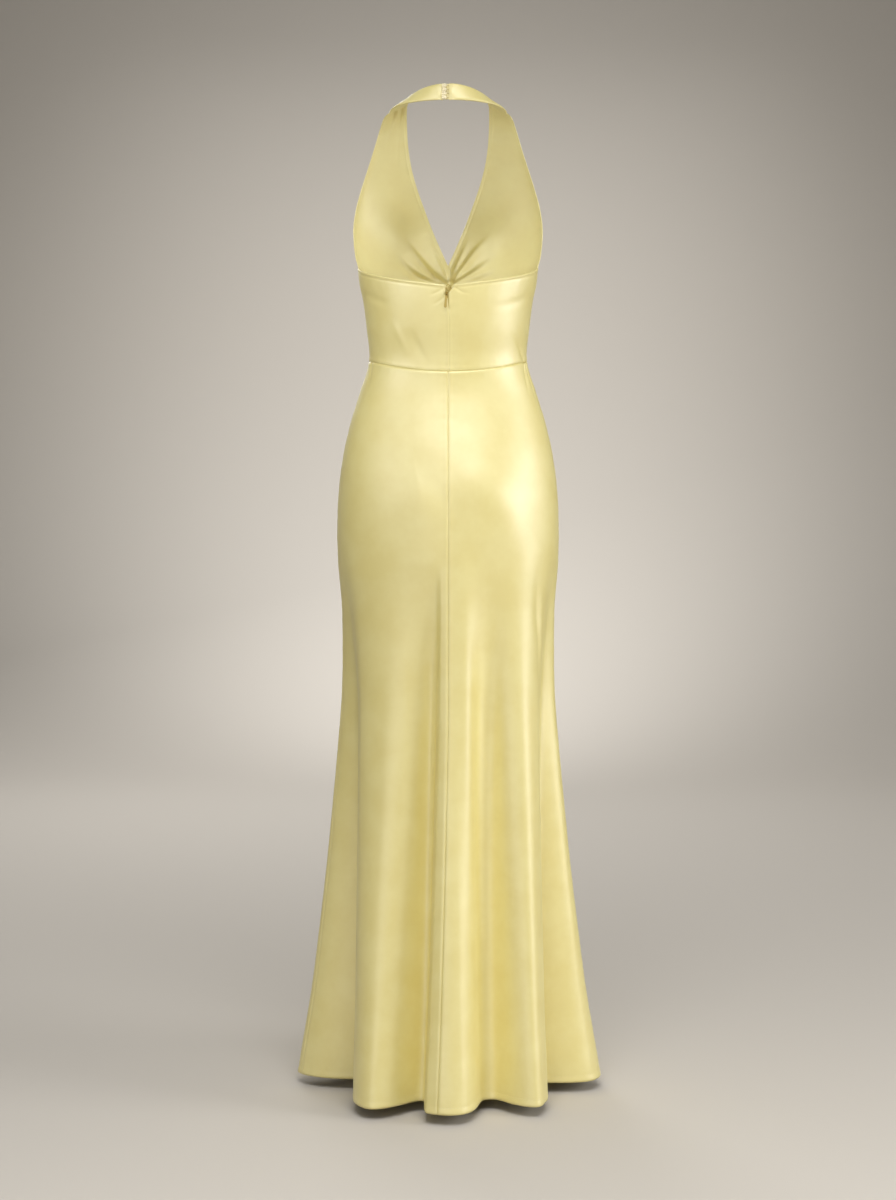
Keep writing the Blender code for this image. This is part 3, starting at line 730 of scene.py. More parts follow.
@dataclass
class Skirt:
    """The skirt: two back panels that meet at the centre back, and one front panel."""

    rows: int = 210
    back_columns: int = 120
    front_columns: int = 190
    hem: "HemStitching" = field(default_factory=lambda: HemStitching())
    creases: tuple[Crease, ...] = (
        # seen in the photo, from the centre back outwards
        Crease(((3, -0.545), (15, -0.575), (30, -0.62), (46, -0.69)), 0.006, (0.04, 0.04), 0.2, 0.2, 0.5),
        Crease(((-3, -0.59), (-14, -0.605), (-28, -0.6)), 0.0036, (0.04, 0.04), 0.2, 0.2, 0.5),
        Crease(((26, -0.69), (24, -0.9), (21, -1.15), (19, -1.5)), -0.011, (0.02, 0.023), 0.0, 0.7, 0.4),
        Crease(((9, -0.66), (10, -0.9), (10, -1.15), (9, -1.5)), 0.0045, (0.014, 0.012), 0.0, 0.4, 0.4),
        Crease(((-7, -0.715), (-10, -0.95), (-11, -1.25), (-11.5, -1.5)), -0.007, (0.008, 0.013), 0.0, 0.5, 0.3),
        Crease(((-24, -0.72), (-24, -0.95), (-23, -1.2), (-22, -1.5)), 0.005, (0.02, 0.035), 0.0, 0.5, 0.5),
        Crease(((53, -0.7), (55, -0.76), (59, -0.83), (58, -0.92)), -0.003, (0.006, 0.012), 0.0, 0.0, 0.5),
        Crease(((74, -0.396), (68, -0.422), (62, -0.452)), -0.0024, (0.0035, 0.0045), 1.0, 0.0, 0.2),
        Crease(((81, -0.396), (77, -0.43), (73, -0.47)), -0.002, (0.0035, 0.0045), 1.0, 0.0, 0.2),
        Crease(((-74, -0.396), (-69, -0.42), (-65, -0.44)), -0.0016, (0.0035, 0.0045), 1.0, 0.0, 0.2),
        # on the hidden sides, in the same manner
        Crease(((104, -0.86), (103, -1.1), (104, -1.5)), 0.004, (0.012, 0.015), 0.0, 1.0, 0.6),
        Crease(((121, -0.8), (122, -1.15), (122, -1.5)), -0.004, (0.013, 0.012), 0.0, 1.0, 0.6),
        Crease(((137, -0.72), (138, -1.05), (139, -1.5)), 0.004, (0.014, 0.018), 0.0, 0.8, 0.6),
        Crease(((156, -0.66), (157, -1.00), (157, -1.5)), -0.0045, (0.012, 0.016), 0.0, 1.0, 0.6),
        Crease(((171, -0.8), (172, -1.1), (173, -1.5)), 0.004, (0.011, 0.014), 0.0, 1.0, 0.6),
        Crease(((189, -0.7), (188, -1.02), (189, -1.5)), -0.004, (0.014, 0.011), 0.0, 1.0, 0.6),
        Crease(((206, -0.74), (205, -1.12), (205, -1.5)), 0.0045, (0.012, 0.016), 0.0, 1.0, 0.6),
        Crease(((224, -0.82), (223, -1.16), (222, -1.5)), -0.0035, (0.013, 0.013), 0.0, 1.0, 0.6),
        Crease(((241, -0.9), (240, -1.2), (239, -1.5)), 0.004, (0.012, 0.016), 0.0, 1.0, 0.6),
        Crease(((170, -0.402), (166, -0.44), (160, -0.5)), 0.0018, (0.01, 0.012), 0.6, 0.0, 0.3),
        Crease(((190, -0.402), (195, -0.45), (202, -0.52)), 0.0018, (0.01, 0.012), 0.6, 0.0, 0.3),
    )

    def angles(self, start: float, stop: float, count: int) -> np.ndarray:
        """Angles that divide the skirt evenly along its hem and its hip together, closer at the seams."""
        fine = np.linspace(start, stop, 4000)
        length = np.zeros(len(fine))
        for height, share in ((HEM, 0.6), (HIP, 0.4)):
            points = FORM.skirt(fine, np.full(len(fine), height))
            length[1:] += share * np.cumsum(np.linalg.norm(np.diff(points, axis=0), axis=1))
        return np.interp(crowded(count, 0.55) * length[-1], length, fine)

    def grid(self, start: float, stop: float, count: int) -> ClothGrid:
        """The grid of one panel between two seams.

        Args:
            start: the angle of its first seam.
            stop: the angle of its last seam.
            count: how many columns it has.

        Returns:
            The grid, with its creases and edges.
        """
        angles = self.angles(start, stop, count)
        top = FORM.waist(angles)
        heights = top + (HEM - top) * crowded(self.rows, 0.45)[:, None]
        below = np.clip((FORM.drift_from - heights) / (FORM.drift_from - HEM), 0, 1)
        turned = angles + FORM.drift_angle * below * np.clip(np.cos(np.radians(angles)), 0, 1) ** 2
        points = FORM.skirt(turned, heights)
        cloth = ClothGrid(points, FORM.outward(FORM.skirt, turned, heights))
        flat = np.where(turned > 180, turned - 360, turned) if start >= 270 or stop <= 90 else turned
        s = np.radians(flat) * FORM.section("half_width", heights)
        cloth.crease(self.creases, s, FORM.unrolled)
        cloth.finish_edge(Edge.TOP, Make.SEWN)
        cloth.finish_edge(Edge.BOTTOM, Make.HEMMED)
        for edge in (Edge.LEFT, Edge.RIGHT):
            cloth.finish_edge(edge, Make.SEWN)
            cloth.pucker(edge, 0.00022, 0.013)
        cloth.pucker(Edge.TOP, 0.00018, 0.017, 0.004)
        cloth.pucker(Edge.BOTTOM, 0.00035, 0.022, 0.012)
        return cloth

    def build(self, satin: SatinPair, thread: bpy.types.Material) -> None:
        """Makes the three panels."""
        back, front = (0.50, 1.12, 0.32, Hold.HUNG), (0.95, 1.12, 0.59, Hold.HUNG)
        cuts = {
            "skirt_back_right": (0, 90, self.back_columns, Cut(*back, "back_bodice_right_satin")),
            "skirt_front": (90, 270, self.front_columns, Cut(*front, "front_bodice_right_satin")),
            "skirt_back_left": (270, 360, self.back_columns, Cut(*back, "back_bodice_left_satin")),
        }
        for node, (start, stop, count, cut) in cuts.items():
            walls = self.grid(start, stop, count).walls(CLOTH, (Edge.TOP, Edge.LEFT, Edge.RIGHT))
            cut.dress(node, walls, satin)
            radii = (self.hem.radius, self.hem.radius)
            sewn = swept(f"{node}_hem", self.hem.paths(walls[0]), radii, np.array((0, 0, 1.0)), 5)
            show(f"{node}_hem_stitches", sewn, thread)


@dataclass(frozen=True)
class Notch:
    """The opening above the zip: how far the left and the right edge stand from the centre back."""

    below_top: float
    left: float
    right: float


@dataclass
class BackBodice:
    """The low back: two halves from the top edge to the waist, with a notch above the zip."""

    rows: int = 96
    columns: int = 110
    notch: tuple[Notch, ...] = (
        Notch(0.0000, 0.0042, 0.0078),
        Notch(0.0030, 0.0040, 0.0062),
        Notch(0.0065, 0.0040, 0.0050),
        Notch(0.0110, 0.0042, 0.0008),
        Notch(0.0150, 0.0042, 0.0000),
        Notch(0.0190, 0.0006, 0.0000),
        Notch(0.0231, 0.0000, 0.0000),
    )
    creases: tuple[Crease, ...] = (
        Crease(((-29, -0.346), (-22, -0.375), (-14, -0.404)), -0.0009, (0.005, 0.009), 0.0, 0.3, 0.5),
        Crease(((-44, -0.33), (-36, -0.362), (-27, -0.398)), 0.001, (0.006, 0.007), 0.0, 0.0, 0.5),
        Crease(((-70, -0.296), (-56, -0.305), (-38, -0.318)), -0.001, (0.006, 0.006), 0.5, 0.0, 0.4),
        Crease(((72, -0.392), (62, -0.372), (48, -0.352)), -0.0016, (0.005, 0.007), 1.0, 0.0, 0.3),
        Crease(((66, -0.3), (48, -0.312), (26, -0.322)), -0.0009, (0.006, 0.007), 0.4, 0.0, 0.4),
        Crease(((-4, -0.294), (-9, -0.3), (-15, -0.303)), -0.0007, (0.0018, 0.0022), 1.0, 0.0, 0.2),
        Crease(((-3, -0.306), (-8, -0.314), (-13, -0.318)), -0.0006, (0.0018, 0.0022), 1.0, 0.0, 0.2),
        Crease(((5, -0.292), (10, -0.298), (17, -0.3)), -0.0007, (0.0018, 0.0022), 1.0, 0.0, 0.2),
    )

    def grid(self, side: int) -> ClothGrid:
        """The grid of one half, 1 for the wearer's right and -1 for the left."""
        shares = crowded(self.rows, 0.35)
        shares = shares**1.25
        below = shares * (BACK_TOP - WAIST_BACK)
        edge = through(
            [n.below_top for n in self.notch] + [0.2],
            [n.right if side > 0 else n.left for n in self.notch] + [0.0],
            below,
        )
        first = np.degrees(np.arcsin(edge / FORM.section("half_width", BACK_TOP - below)))
        across = crowded(self.columns, 0.45)
        angles = first[:, None] + (90 - first[:, None]) * across
        top, bottom = FORM.back_top(angles), FORM.waist(angles)
        heights = top + (bottom - top) * shares[:, None]
        turned = side * angles
        points = FORM.ring(turned, heights)
        normals = FORM.outward(FORM.ring, turned, heights)
        if side < 0:
            points, normals, turned, heights = (a[:, ::-1] for a in (points, normals, turned, heights))
        cloth = ClothGrid(points.copy(), normals.copy())
        s = np.radians(turned) * FORM.section("half_width", heights)
        cloth.crease(self.creases, s, FORM.unrolled)
        inner_edge, outer_edge = (Edge.LEFT, Edge.RIGHT) if side > 0 else (Edge.RIGHT, Edge.LEFT)
        cloth.finish_edge(Edge.TOP, Make.ROLLED)
        cloth.finish_edge(Edge.BOTTOM, Make.SEWN)
        cloth.finish_edge(inner_edge, Make.ZIPPED)
        cloth.finish_edge(outer_edge, Make.SEWN)
        cloth.pucker(Edge.BOTTOM, 0.00018, 0.015, 0.004)
        cloth.pucker(Edge.TOP, 0.00015, 0.019, 0.008)
        cloth.pucker(inner_edge, 0.00018, 0.014, 0.004)
        return cloth

    def build(self, satin: SatinPair) -> None:
        """Makes both halves."""
        for name, side in SIDES.items():
            walls = self.grid(side).walls(CLOTH, (Edge.BOTTOM, Edge.RIGHT if side > 0 else Edge.LEFT))
            cut = Cut(0.20, 0.165, 0.0245, Hold.STRETCHED, f"front_bodice_{name}_satin")
            cut.dress(f"back_bodice_{name}", walls, satin)


@dataclass(frozen=True)
class PanelEdges:
    """The two edges of a front panel at one station: the neckline, and the armhole or side seam."""

    inner_x: float
    inner_depth: float
    inner_height: float
    outer_x: float
    outer_depth: float
    outer_height: float


def fold_mm(path: Sequence[tuple[float, float]], *rest: float | tuple[float, float]) -> Crease:
    """A crease whose path is given in millimetres."""
    return Crease(tuple((x / 1000, z / 1000) for x, z in path), *rest)


@dataclass
class FrontBodice:
    """The two gathered halter panels, from the neck band to the waist, crossing at the centre front."""

    rows: int = 190
    columns: int = 130
    side_seam_row: int = 10
    wrap_shift: float = 0.0012
    wrap_zone: tuple[float, float] = (0.018, 0.045)
    cup: tuple[float, float, float, float, float] = (0.0740, -0.2080, 0.0400, 0.0500, 0.0170)
    edges: tuple[PanelEdges, ...] = (
        PanelEdges(0.0624, 0.005, -0.0040, 0.0900, 0.005, -0.0175),
        PanelEdges(0.0632, 0.024, -0.0165, 0.0982, 0.017, -0.0240),
        PanelEdges(0.0632, 0.042, -0.0345, 0.1052, 0.028, -0.0410),
        PanelEdges(0.0618, 0.057, -0.0600, 0.1138, 0.037, -0.0670),
        PanelEdges(0.0575, 0.071, -0.0880, 0.1236, 0.044, -0.0955),
        PanelEdges(0.0490, 0.085, -0.1185, 0.1334, 0.046, -0.1250),
        PanelEdges(0.0370, 0.096, -0.1510, 0.1414, 0.042, -0.1545),
        PanelEdges(0.0245, 0.103, -0.1830, 0.1455, 0.034, -0.1830),
        PanelEdges(0.0115, 0.105, -0.2130, 0.1450, 0.022, -0.2090),
        PanelEdges(0.0000, 0.105, -0.2385, 0.1418, 0.009, -0.2340),
        PanelEdges(-0.0080, 0.1045, -0.2570, 0.1374, 0.000, -0.2520),
        PanelEdges(-0.0130, 0.1030, -0.2800, 0.1345, 0.000, -0.2760),
        PanelEdges(-0.0150, 0.0995, -0.3150, 0.1282, 0.000, -0.3100),
        PanelEdges(-0.0150, 0.0965, -0.3560, 0.1235, 0.000, -0.3510),
        PanelEdges(-0.0150, 0.0940, -0.4010, 0.1206, 0.000, -0.3950),
    )
    creases: tuple[Crease, ...] = (
        fold_mm(((-3, -267), (-26, -249), (-48, -224), (-76, -188)), 0.0125, (0.01, 0.0038), 0.6, 0.0, 0.25),
        fold_mm(((-12, -268), (-42, -256), (-64, -241), (-84, -218)), 0.0095, (0.009, 0.0036), 0.5, 0.0, 0.3),
        fold_mm(((1, -263), (-5, -244), (-19, -216), (-30, -196)), 0.005, (0.0036, 0.0046), 0.7, 0.0, 0.3),
        fold_mm(((6, -262), (12, -241), (25, -214), (36, -187)), 0.006, (0.0034, 0.006), 0.6, 0.0, 0.3),
        fold_mm(((8, -264), (22, -242), (47, -210), (72, -185)), 0.0085, (0.0038, 0.008), 0.6, 0.0, 0.3),
        fold_mm(((9, -266), (24, -257), (51, -241), (86, -216)), 0.0085, (0.004, 0.008), 0.6, 0.0, 0.3),
        fold_mm(((16, -267), (48, -260), (82, -247)), 0.0055, (0.0045, 0.007), 0.6, 0.0, 0.35),
        fold_mm(((-78, -7), (-83, -24), (-90, -40), (-97, -80)), 0.0042, (0.0022, 0.004), 1.0, 0.0, 0.1),
        fold_mm(((-68, -6), (-71.5, -21), (-75, -38), (-80, -110)), 0.004, (0.0022, 0.004), 1.0, 0.0, 0.1),
        fold_mm(((10, -272), (30, -290), (52, -318)), 0.0022, (0.006, 0.007), 0.4, 0.0, 0.4),
        fold_mm(((4, -274), (12, -300), (18, -342)), 0.002, (0.005, 0.006), 0.4, 0.0, 0.4),
        fold_mm(((-10, -272), (-34, -286), (-60, -308)), 0.0022, (0.007, 0.006), 0.4, 0.0, 0.4),
        fold_mm(((-6, -274), (-18, -304), (-30, -338)), 0.002, (0.006, 0.005), 0.4, 0.0, 0.4),
    )

    def grid(self, side: int) -> ClothGrid:
        """The grid of one panel, 1 for the wearer's right and -1 for the left."""
        stations = np.arange(len(self.edges))
        at = crowded(self.rows, 0.25) * (len(self.edges) - 1)
        names = ("inner_x", "inner_depth", "inner_height", "outer_x", "outer_depth", "outer_height")
        e = {n: through(stations, [getattr(row, n) for row in self.edges], at)[:, None] for n in names}
        sewn = at[:, None] >= self.side_seam_row
        e["outer_x"] = np.where(sewn, FORM.section("half_width", e["outer_height"]), e["outer_x"])
        across = crowded(self.columns, 0.40)
        first = np.arcsin(e["inner_x"] / e["outer_x"])
        turn = first + (math.pi / 2 - first) * across
        x = e["outer_x"] * np.sin(turn)
        swell = (e["inner_depth"] - e["outer_depth"]) / np.cos(first)
        share = (x - e["inner_x"]) / (e["outer_x"] - e["inner_x"])
        height = e["inner_height"] + (e["outer_height"] - e["inner_height"]) * share
        waist = WAIST_FRONT + (WAIST_SIDE - WAIST_FRONT) * (x[-1] / x[-1, -1]) ** 2
        height += (waist - height[-1]) * ease(at[:, None] - len(self.edges) + 2)
        cup_x, cup_z, spread_x, spread_z, swelling = self.cup
        lift = np.exp(-(((x - cup_x) / spread_x) ** 2) - ((height - cup_z) / spread_z) ** 2)
        depth = e["outer_depth"] + swell * np.cos(turn) + swelling * lift
        away = (np.abs(x) - self.wrap_zone[0]) / (self.wrap_zone[1] - self.wrap_zone[0])
        depth += side * self.wrap_shift * (1 - ease(away)) * ease((-0.205 - height) / 0.02)
        points = np.stack([side * x, AXIS_Y + depth, height], axis=-1)
        if side > 0:
            points = points[:, ::-1].copy()
        cloth = ClothGrid(points, ClothGrid.facing(points))
        cloth.crease(self.creases, points[..., 0], lambda x, z: (x, z))
        neckline, seam = (Edge.RIGHT, Edge.LEFT) if side > 0 else (Edge.LEFT, Edge.RIGHT)
        cloth.finish_edge(neckline, Make.NARROW)
        cloth.finish_edge(seam, Make.NARROW)
        cloth.finish_edge(Edge.BOTTOM, Make.SEWN)
        cloth.finish_edge(Edge.TOP, Make.SEWN)
        cloth.pucker(neckline, 0.00020, 0.012, 0.007)
        cloth.pucker(seam, 0.00020, 0.014, 0.007)
        cloth.pucker(Edge.BOTTOM, 0.00040, 0.010, 0.005)
        return cloth

    def build(self, satin: SatinPair) -> None:
        """Makes both panels."""
        for name, side in SIDES.items():
            sewn = (Edge.TOP, Edge.BOTTOM, Edge.LEFT if side > 0 else Edge.RIGHT)
            cut = Cut(0.24, 0.41, 0.066, Hold.GATHERED, f"neck_band_{name}_satin")
            cut.dress(f"front_bodice_{name}", self.grid(side).walls(CLOTH, sewn), satin)


@dataclass
class NeckBand:
    """The double neck band with its underlap, loops and hooks."""

    nape_depth: float = 0.0786
    widths: tuple[float, float] = (0.0250, 0.0307)
    side: tuple[float, float, float] = (0.0762, 0.005, -0.01075)
    lean: tuple[float, float] = (8.0, 63.94)
    ends: tuple[float, float] = (-0.0074, 0.0018)
    wall: float = 0.0020
    underlap: tuple[float, float] = (-0.0110, 0.0105)
    underlap_gap: float = 0.0020
    underlap_height: float = 0.0235
    underlap_wall: float = 0.0012
    columns: int = 110
    rows: int = 30

    def points(
        self, xs: np.ndarray, shares: np.ndarray, inwards: float = 0.0, width: float = 0.0
    ) -> np.ndarray:
        """A grid on the band.

        Args:
            xs: the places along it, as x on its middle line.
            shares: the places across it, from -0.5 at its upper edge to 0.5.
            inwards: how far the grid lies inside the band's outer face.
            width: one width all along, or 0 for the band's own.

        Returns:
            Rows of points from the upper edge down.
        """
        sine = xs / self.side[0]
        cosine = np.sqrt(np.clip(1 - sine**2, 0, 1))
        reach = self.nape_depth + self.side[1] - inwards
        middle = [(self.side[0] - inwards) * sine, self.side[1] - reach * cosine, self.side[2] * (1 - cosine)]
        lean = np.radians(self.lean[0] + (self.lean[1] - self.lean[0]) * np.abs(sine) ** 1.2)
        down = np.stack([np.sin(lean) * sine, -np.sin(lean) * cosine, -np.cos(lean)], axis=-1)
        span = self.widths[0] + (self.widths[1] - self.widths[0]) * ease(1 - cosine)
        if width:
            span = np.full_like(span, width)
        grid = np.stack(middle, axis=-1) + down * span[:, None] * shares[:, None, None]
        grid[..., 1] += AXIS_Y
        return grid

    def half(self, name: str, side: int, satin: SatinPair) -> None:
        """Makes one half of the band, with its end rolled under and ruched."""
        end = self.ends[1] if side > 0 else -self.ends[0]
        first = math.asin(end / self.side[0])
        turns = first + (math.pi / 2 - first) * crowded(self.columns, 0.5)
        xs = side * self.side[0] * np.sin(turns)
        points = self.points(xs if side > 0 else xs[::-1], crowded(self.rows, 0.6) - 0.5)
        cloth = ClothGrid(points, ClothGrid.facing(points))
        for edge in (Edge.TOP, Edge.BOTTOM):
            cloth.offset -= 0.0009 * bump(cloth.distance(edge), 0, 0.0016)
        far = cloth.distance(Edge.LEFT if side > 0 else Edge.RIGHT)
        cloth.offset -= 0.0016 * bump(far, 0, 0.0030)
        rows = np.linspace(0, 1, points.shape[0])[:, None]
        cloth.offset += 0.0005 * np.sin(rows * 4.3 * math.pi) * bump(far, 0.004, 0.004)
        cut = Cut(0.125, 0.031, 0.0037, Hold.STRETCHED, "neck_underlap_satin")
        cut.dress(f"neck_band_{name}", cloth.walls(self.wall, ()), satin)

    def build(self, satin: SatinPair) -> None:
        """Makes the band and its underlap."""
        for name, side in SIDES.items():
            self.half(name, side, satin)
        across, down = np.linspace(*self.underlap, 25), np.linspace(-0.5, 0.5, 25)
        points = self.points(across, down, self.wall + self.underlap_gap, self.underlap_height)
        walls = ClothGrid(points, ClothGrid.facing(points)).walls(self.underlap_wall, ())
        cut = Cut(0.024, 0.026, 0.00058, Hold.STRETCHED, "neck_band_right_satin")
        cut.dress("neck_underlap", walls, satin)


def swept(
    name: str,
    paths: Iterable[np.ndarray],
    radii: tuple[float, float],
    facing: np.ndarray,
    sides: int = 10,
) -> bpy.types.Mesh:
    """Round or oval cords along paths, with closed rounded ends.

    Args:
        name: the mesh's name.
        paths: arrays of points.
        radii: the half sizes across and along the facing direction.
        facing: a direction that the cords' backs look in, one for all.
        sides: how many sides a cord has.

    Returns:
        One mesh with all the cords.
    """
    turns = np.linspace(0, 2 * math.pi, sides, endpoint=False)
    points, faces, base = [], [], 0
    for path in paths:
        along = np.gradient(path, axis=0)
        along /= np.linalg.norm(along, axis=1, keepdims=True)
        across = np.cross(along, facing)
        across /= np.linalg.norm(across, axis=1, keepdims=True)
        out = np.cross(across, along)
        small = min(radii)
        ends = [(0, -0.9 * small, 0.05), (0, -0.6 * small, 0.7), *[(i, 0.0, 1.0) for i in range(len(path))]]
        ends += [(-1, 0.6 * small, 0.7), (-1, 0.9 * small, 0.05)]
        for i, shift, size in ends:
            ring = np.cos(turns)[:, None] * across[i] * radii[0] + np.sin(turns)[:, None] * out[i] * radii[1]
            points.append(path[i] + along[i] * shift + ring * size)
        index = base + np.arange(len(ends) * sides).reshape(len(ends), sides)
        after = np.roll(index, -1, axis=1)
        faces.append(np.stack([index[:-1], index[1:], after[1:], after[:-1]], axis=-1).reshape(-1, 4))
        base += len(ends) * sides
    return mesh_from(name, np.concatenate(points), np.concatenate(faces))


@dataclass
class NeckLoops:
    """The four fat loops of covered cord on the left end of the neck band, like a scalloped edge."""

    count: int = 4
    pitch: float = 0.0061
    root: float = -0.0084
    tip: float = -0.0019
    half_height: float = 0.0014
    cord: tuple[float, float] = (0.00165, 0.0015)
    depth: float = 0.0006  # the cords' middle lies this far inside the band's outer face

    def build(self, cord: bpy.types.Material) -> None:
        """Makes the loops."""
        band = NeckBand()
        bend = self.tip - self.cord[0] - self.half_height
        for i in range(self.count):
            middle = (i - (self.count - 1) / 2) * self.pitch
            turns = np.linspace(math.pi / 2, -math.pi / 2, 11)
            straight = [self.root, (self.root + bend) / 2]
            xs = np.concatenate([straight, bend + self.half_height * np.cos(turns), straight[::-1]])
            downs = np.concatenate([[-1, -1], -np.sin(turns)]) * self.half_height + middle
            downs = np.concatenate([downs, [self.half_height + middle] * 2])
            shares = downs / band.widths[0]
            path = [band.points(np.array([x]), np.array([d]), self.depth)[0, 0] for x, d in zip(xs, shares)]
            node = f"neck_loop_{i + 1}"
            piece = show(f"{node}_cord", swept(node, [np.array(path)], self.cord, BACKWARDS), cord)
            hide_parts(node)


@dataclass
class ZipChain:
    """The closed nylon coil of the concealed zip, and the two rows of stitches that hold its tape."""

    top: float = -0.3060
    pitch: float = 0.0014
    tooth: tuple[float, float] = (0.0017, 0.00045)  # half width and radius of one turn of the coil
    depth: float = 0.0037  # behind the cloth's outer face
    stitch_x: float = 0.0058
    stitch: float = 0.0024
    thread: float = 0.00022

    def build(self, coil: bpy.types.Material, thread: bpy.types.Material) -> None:
        """Makes the coil and the stitches."""
        heights = np.arange(self.top, ZIP_END - 0.008, -self.pitch)
        turns = []
        for i, z in enumerate(heights):
            middle = FORM.ring(np.zeros(1), np.array([z]), -self.depth)[0]
            lean = 0.0004 if i % 2 else -0.0004
            out = np.array((self.tooth[0], 0, lean))
            turns.append(np.array([middle - out, middle, middle + out]))
        chain = swept("zip_coil", turns, (self.tooth[1],) * 2, BACKWARDS, 6)
        show("zip_coil", chain, coil)
        rows = []
        for side in (-1, 1):
            for z in np.arange(self.top, ZIP_END - 0.012, -self.stitch * 1.45):
                ends = [FORM.ring(np.zeros(1), np.array([h]), 0.0)[0] for h in (z, z - self.stitch)]
                rows.append(np.array(ends) + (side * self.stitch_x, self.depth - 0.0004, 0))
        sewn = swept("zip_tape_stitches", rows, (self.thread,) * 2, BACKWARDS, 5)
        show("zip_tape_stitches", sewn, thread)


@dataclass
class HemStitching:
    """The row of blind stitches that holds the hem, 10 mm above its edge."""

    up: float = 0.0102
    stitch: float = 0.0030
    pitch: float = 0.0052
    radius: float = 0.00024

    def paths(self, outer: np.ndarray) -> list[np.ndarray]:
        """The stitches' paths on the outer face of one panel."""
        below = outer[-40:]
        steps = np.linalg.norm(np.diff(below, axis=0), axis=-1)
        columns = range(outer.shape[1])
        above = np.concatenate([np.cumsum(steps[::-1], axis=0)[::-1], np.zeros((1, len(columns)))])
        line = np.array(
            [[np.interp(self.up, above[::-1, j], below[::-1, j, k]) for k in range(3)] for j in columns]
        )
        length = np.concatenate([[0], np.cumsum(np.linalg.norm(np.diff(line, axis=0), axis=1))])
        starts = np.arange(0.004, length[-1] - self.pitch, self.pitch)
        paths = []
        for a in starts:
            places = [a, a + self.stitch / 2, a + self.stitch]
            paths.append(np.stack([np.interp(places, length, line[:, k]) for k in range(3)], axis=1))
        return paths


@dataclass(frozen=True)
class SoftLight:
    """A square soft light: its place, the point that it faces, its size, power and spread in degrees."""

    name: str
    place: tuple[float, float, float]
    aim: tuple[float, float, float]
    size: float
    watts: float
    spread: float = 180

    def build(self) -> None:
        """Adds the light."""
        lamp = bpy.data.lights.new(self.name, "AREA")
        lamp.shape = "SQUARE"
        lamp.size = self.size
        lamp.energy = self.watts
        lamp.spread = math.radians(self.spread)
        Studio.put(self.name, lamp, self.place, self.aim)


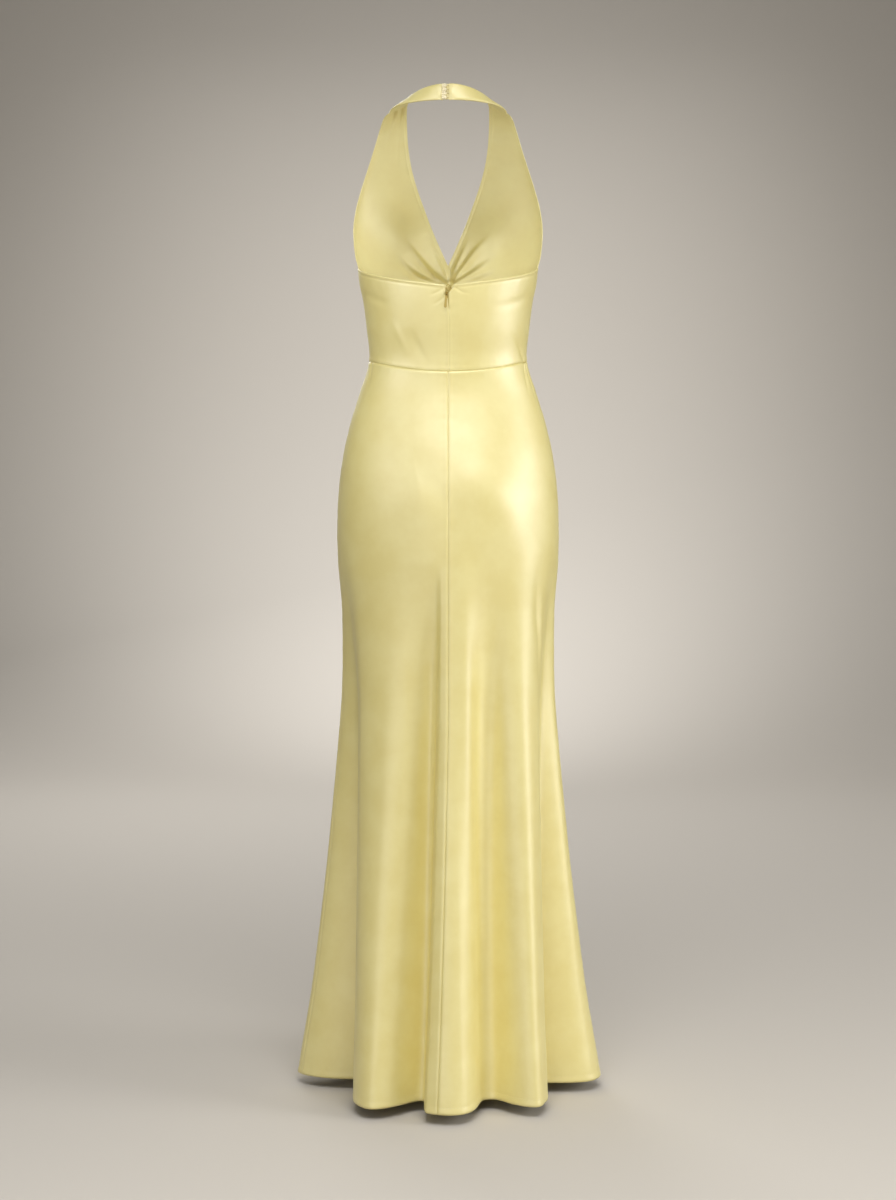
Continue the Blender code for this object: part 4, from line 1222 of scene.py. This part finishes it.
@dataclass
class Studio:
    """The plain pale floor and backdrop, the lights and the camera."""

    floor: float = -1.518
    bend_from: float = 3.30  # far enough back to stay behind the camera in a view of the front
    bend_radius: float = 1.60
    half_width: float = 6.0
    lights: tuple[SoftLight, ...] = (
        SoftLight("key", (3.1, -0.9, -0.1), (0.0, 0.0, -0.80), 1.3, 48),
        SoftLight("fill", (-1.2, -4.2, 0.0), (0.0, 0.0, -0.7), 1.9, 22),
        SoftLight("high", (0.9, -2.9, 2.1), (0.0, -0.2, -0.8), 1.8, 12),
        SoftLight("card", (-1.25, -0.95, -0.05), (0.12, 0.1, -0.17), 0.45, 0.60, 50),
        SoftLight("floor", (0.1, -1.9, 1.5), (0.1, -1.9, -1.5), 2.0, 46, 120),
        SoftLight("far floor", (0.0, 3.2, 1.4), (0.0, 3.2, -1.5), 2.6, 20, 120),
        SoftLight("front", (-1.1, 3.4, 0.9), (0.0, 0.1, -0.7), 1.6, 36),
    )
    pool_watts: float = 150
    pool_place: tuple[float, float, float] = (0.0, 2.30, -0.50)
    pool_aim: tuple[float, float, float] = (0.0, 4.9, -0.40)
    camera_place: tuple[float, float, float] = (0, -3.105, -0.5756)
    camera_dip: float = 3.32  # degrees below level
    lens: float = 62.0  # mm, on a picture 36 mm high

    @staticmethod
    def put(name: str, data: bpy.types.ID, place: Sequence[float], aim: Sequence[float]) -> None:
        """Puts a light in the scene, facing a point."""
        obj = bpy.data.objects.new(name, data)
        bpy.context.scene.collection.objects.link(obj)
        obj.location = place
        obj.rotation_euler = (Vector(aim) - Vector(place)).to_track_quat("-Z", "Y").to_euler()

    def sweep(self) -> None:
        """Makes the floor that bends up into a backdrop."""
        profile = [(-5.0, 0.0), (self.bend_from, 0.0)]
        for k in range(1, 33):
            turn = math.pi / 2 * k / 32
            rise = self.bend_radius * (1 - math.cos(turn))
            profile.append((self.bend_from + self.bend_radius * math.sin(turn), rise))
        profile.append((self.bend_from + self.bend_radius, 6.0))
        xs = np.linspace(-self.half_width, self.half_width, 3)
        points = np.array([[(x, y, self.floor + z) for x in xs] for y, z in profile])
        rows, columns = points.shape[:2]
        index = np.arange(rows * columns).reshape(rows, columns)
        faces = np.stack([index[:-1, :-1], index[:-1, 1:], index[1:, 1:], index[1:, :-1]], axis=-1)
        mesh = mesh_from("studio_sweep", points.reshape(-1, 3), faces.reshape(-1, 4))
        mesh.materials.append(PAPER.material())
        sweep = bpy.data.objects.new("studio_sweep", mesh)
        bpy.context.scene.collection.objects.link(sweep)

    def pool(self) -> None:
        """Adds the soft pool of light on the backdrop behind the dress."""
        lamp = bpy.data.lights.new("pool", "SPOT")
        lamp.energy = self.pool_watts
        lamp.spot_size = math.radians(100)
        lamp.spot_blend = 1.0
        lamp.shadow_soft_size = 0.3
        self.put("pool", lamp, self.pool_place, self.pool_aim)

    def camera(self) -> None:
        """Adds the camera that the photo was taken with, as its outline gives it."""
        data = bpy.data.cameras.new("camera")
        data.sensor_fit = "VERTICAL"
        data.sensor_height = 36.0
        data.lens = self.lens
        data.clip_end = 50.0
        obj = bpy.data.objects.new("camera", data)
        bpy.context.scene.collection.objects.link(obj)
        obj.location = self.camera_place
        obj.rotation_euler = (math.radians(90 - self.camera_dip), 0, 0)
        bpy.context.scene.camera = obj

    def build(self) -> None:
        """Makes the whole studio."""
        self.sweep()
        for light in self.lights:
            light.build()
        self.pool()
        world = bpy.data.worlds.new("studio")
        bpy.context.scene.world = world
        world.use_nodes = True
        back = world.node_tree.nodes["Background"]
        back.inputs["Color"].default_value = srgb("F2F0EC")
        back.inputs["Strength"].default_value = 0.26
        bpy.context.scene.view_settings.view_transform = "Standard"
        self.camera()


def main() -> None:
    """Builds the dress and the studio."""
    logging.basicConfig(level=logging.INFO, format="%(name)s: %(message)s")
    # The reverse is paler than the face: partly the duller back of the satin, partly painted light that
    # brightens the shaded inside of the bodice.
    reverse = SatinFinish("satin_reverse_painted_light", "E8DD9A", "E4D792", 0.58, 0.6, 0.0)
    satin = SatinPair(SatinFinish().material(), reverse.material())
    thread, cord, tape = THREAD.material(), CORD.material(), TAPE.material()
    Skirt().build(satin, thread)
    BackBodice().build(satin)
    FrontBodice().build(satin)
    NeckBand().build(satin)
    NeckLoops().build(cord)
    ZipChain().build(tape, thread)
    metal, enamel = GILT.material(), ENAMEL.material()
    finishes = {"neck_hook": metal, "back_": metal, "zip_slider": metal, "zip_pull": enamel}
    finishes["neck_loop"] = cord
    for name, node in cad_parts.items():
        for start, finish in finishes.items():
            if name.startswith(start) and not name.startswith("back_bodice"):
                node.data.materials[0] = finish
    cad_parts["zip_tape"].data.materials[0] = tape
    Studio().build()


if __name__ == "__main__":
    main()
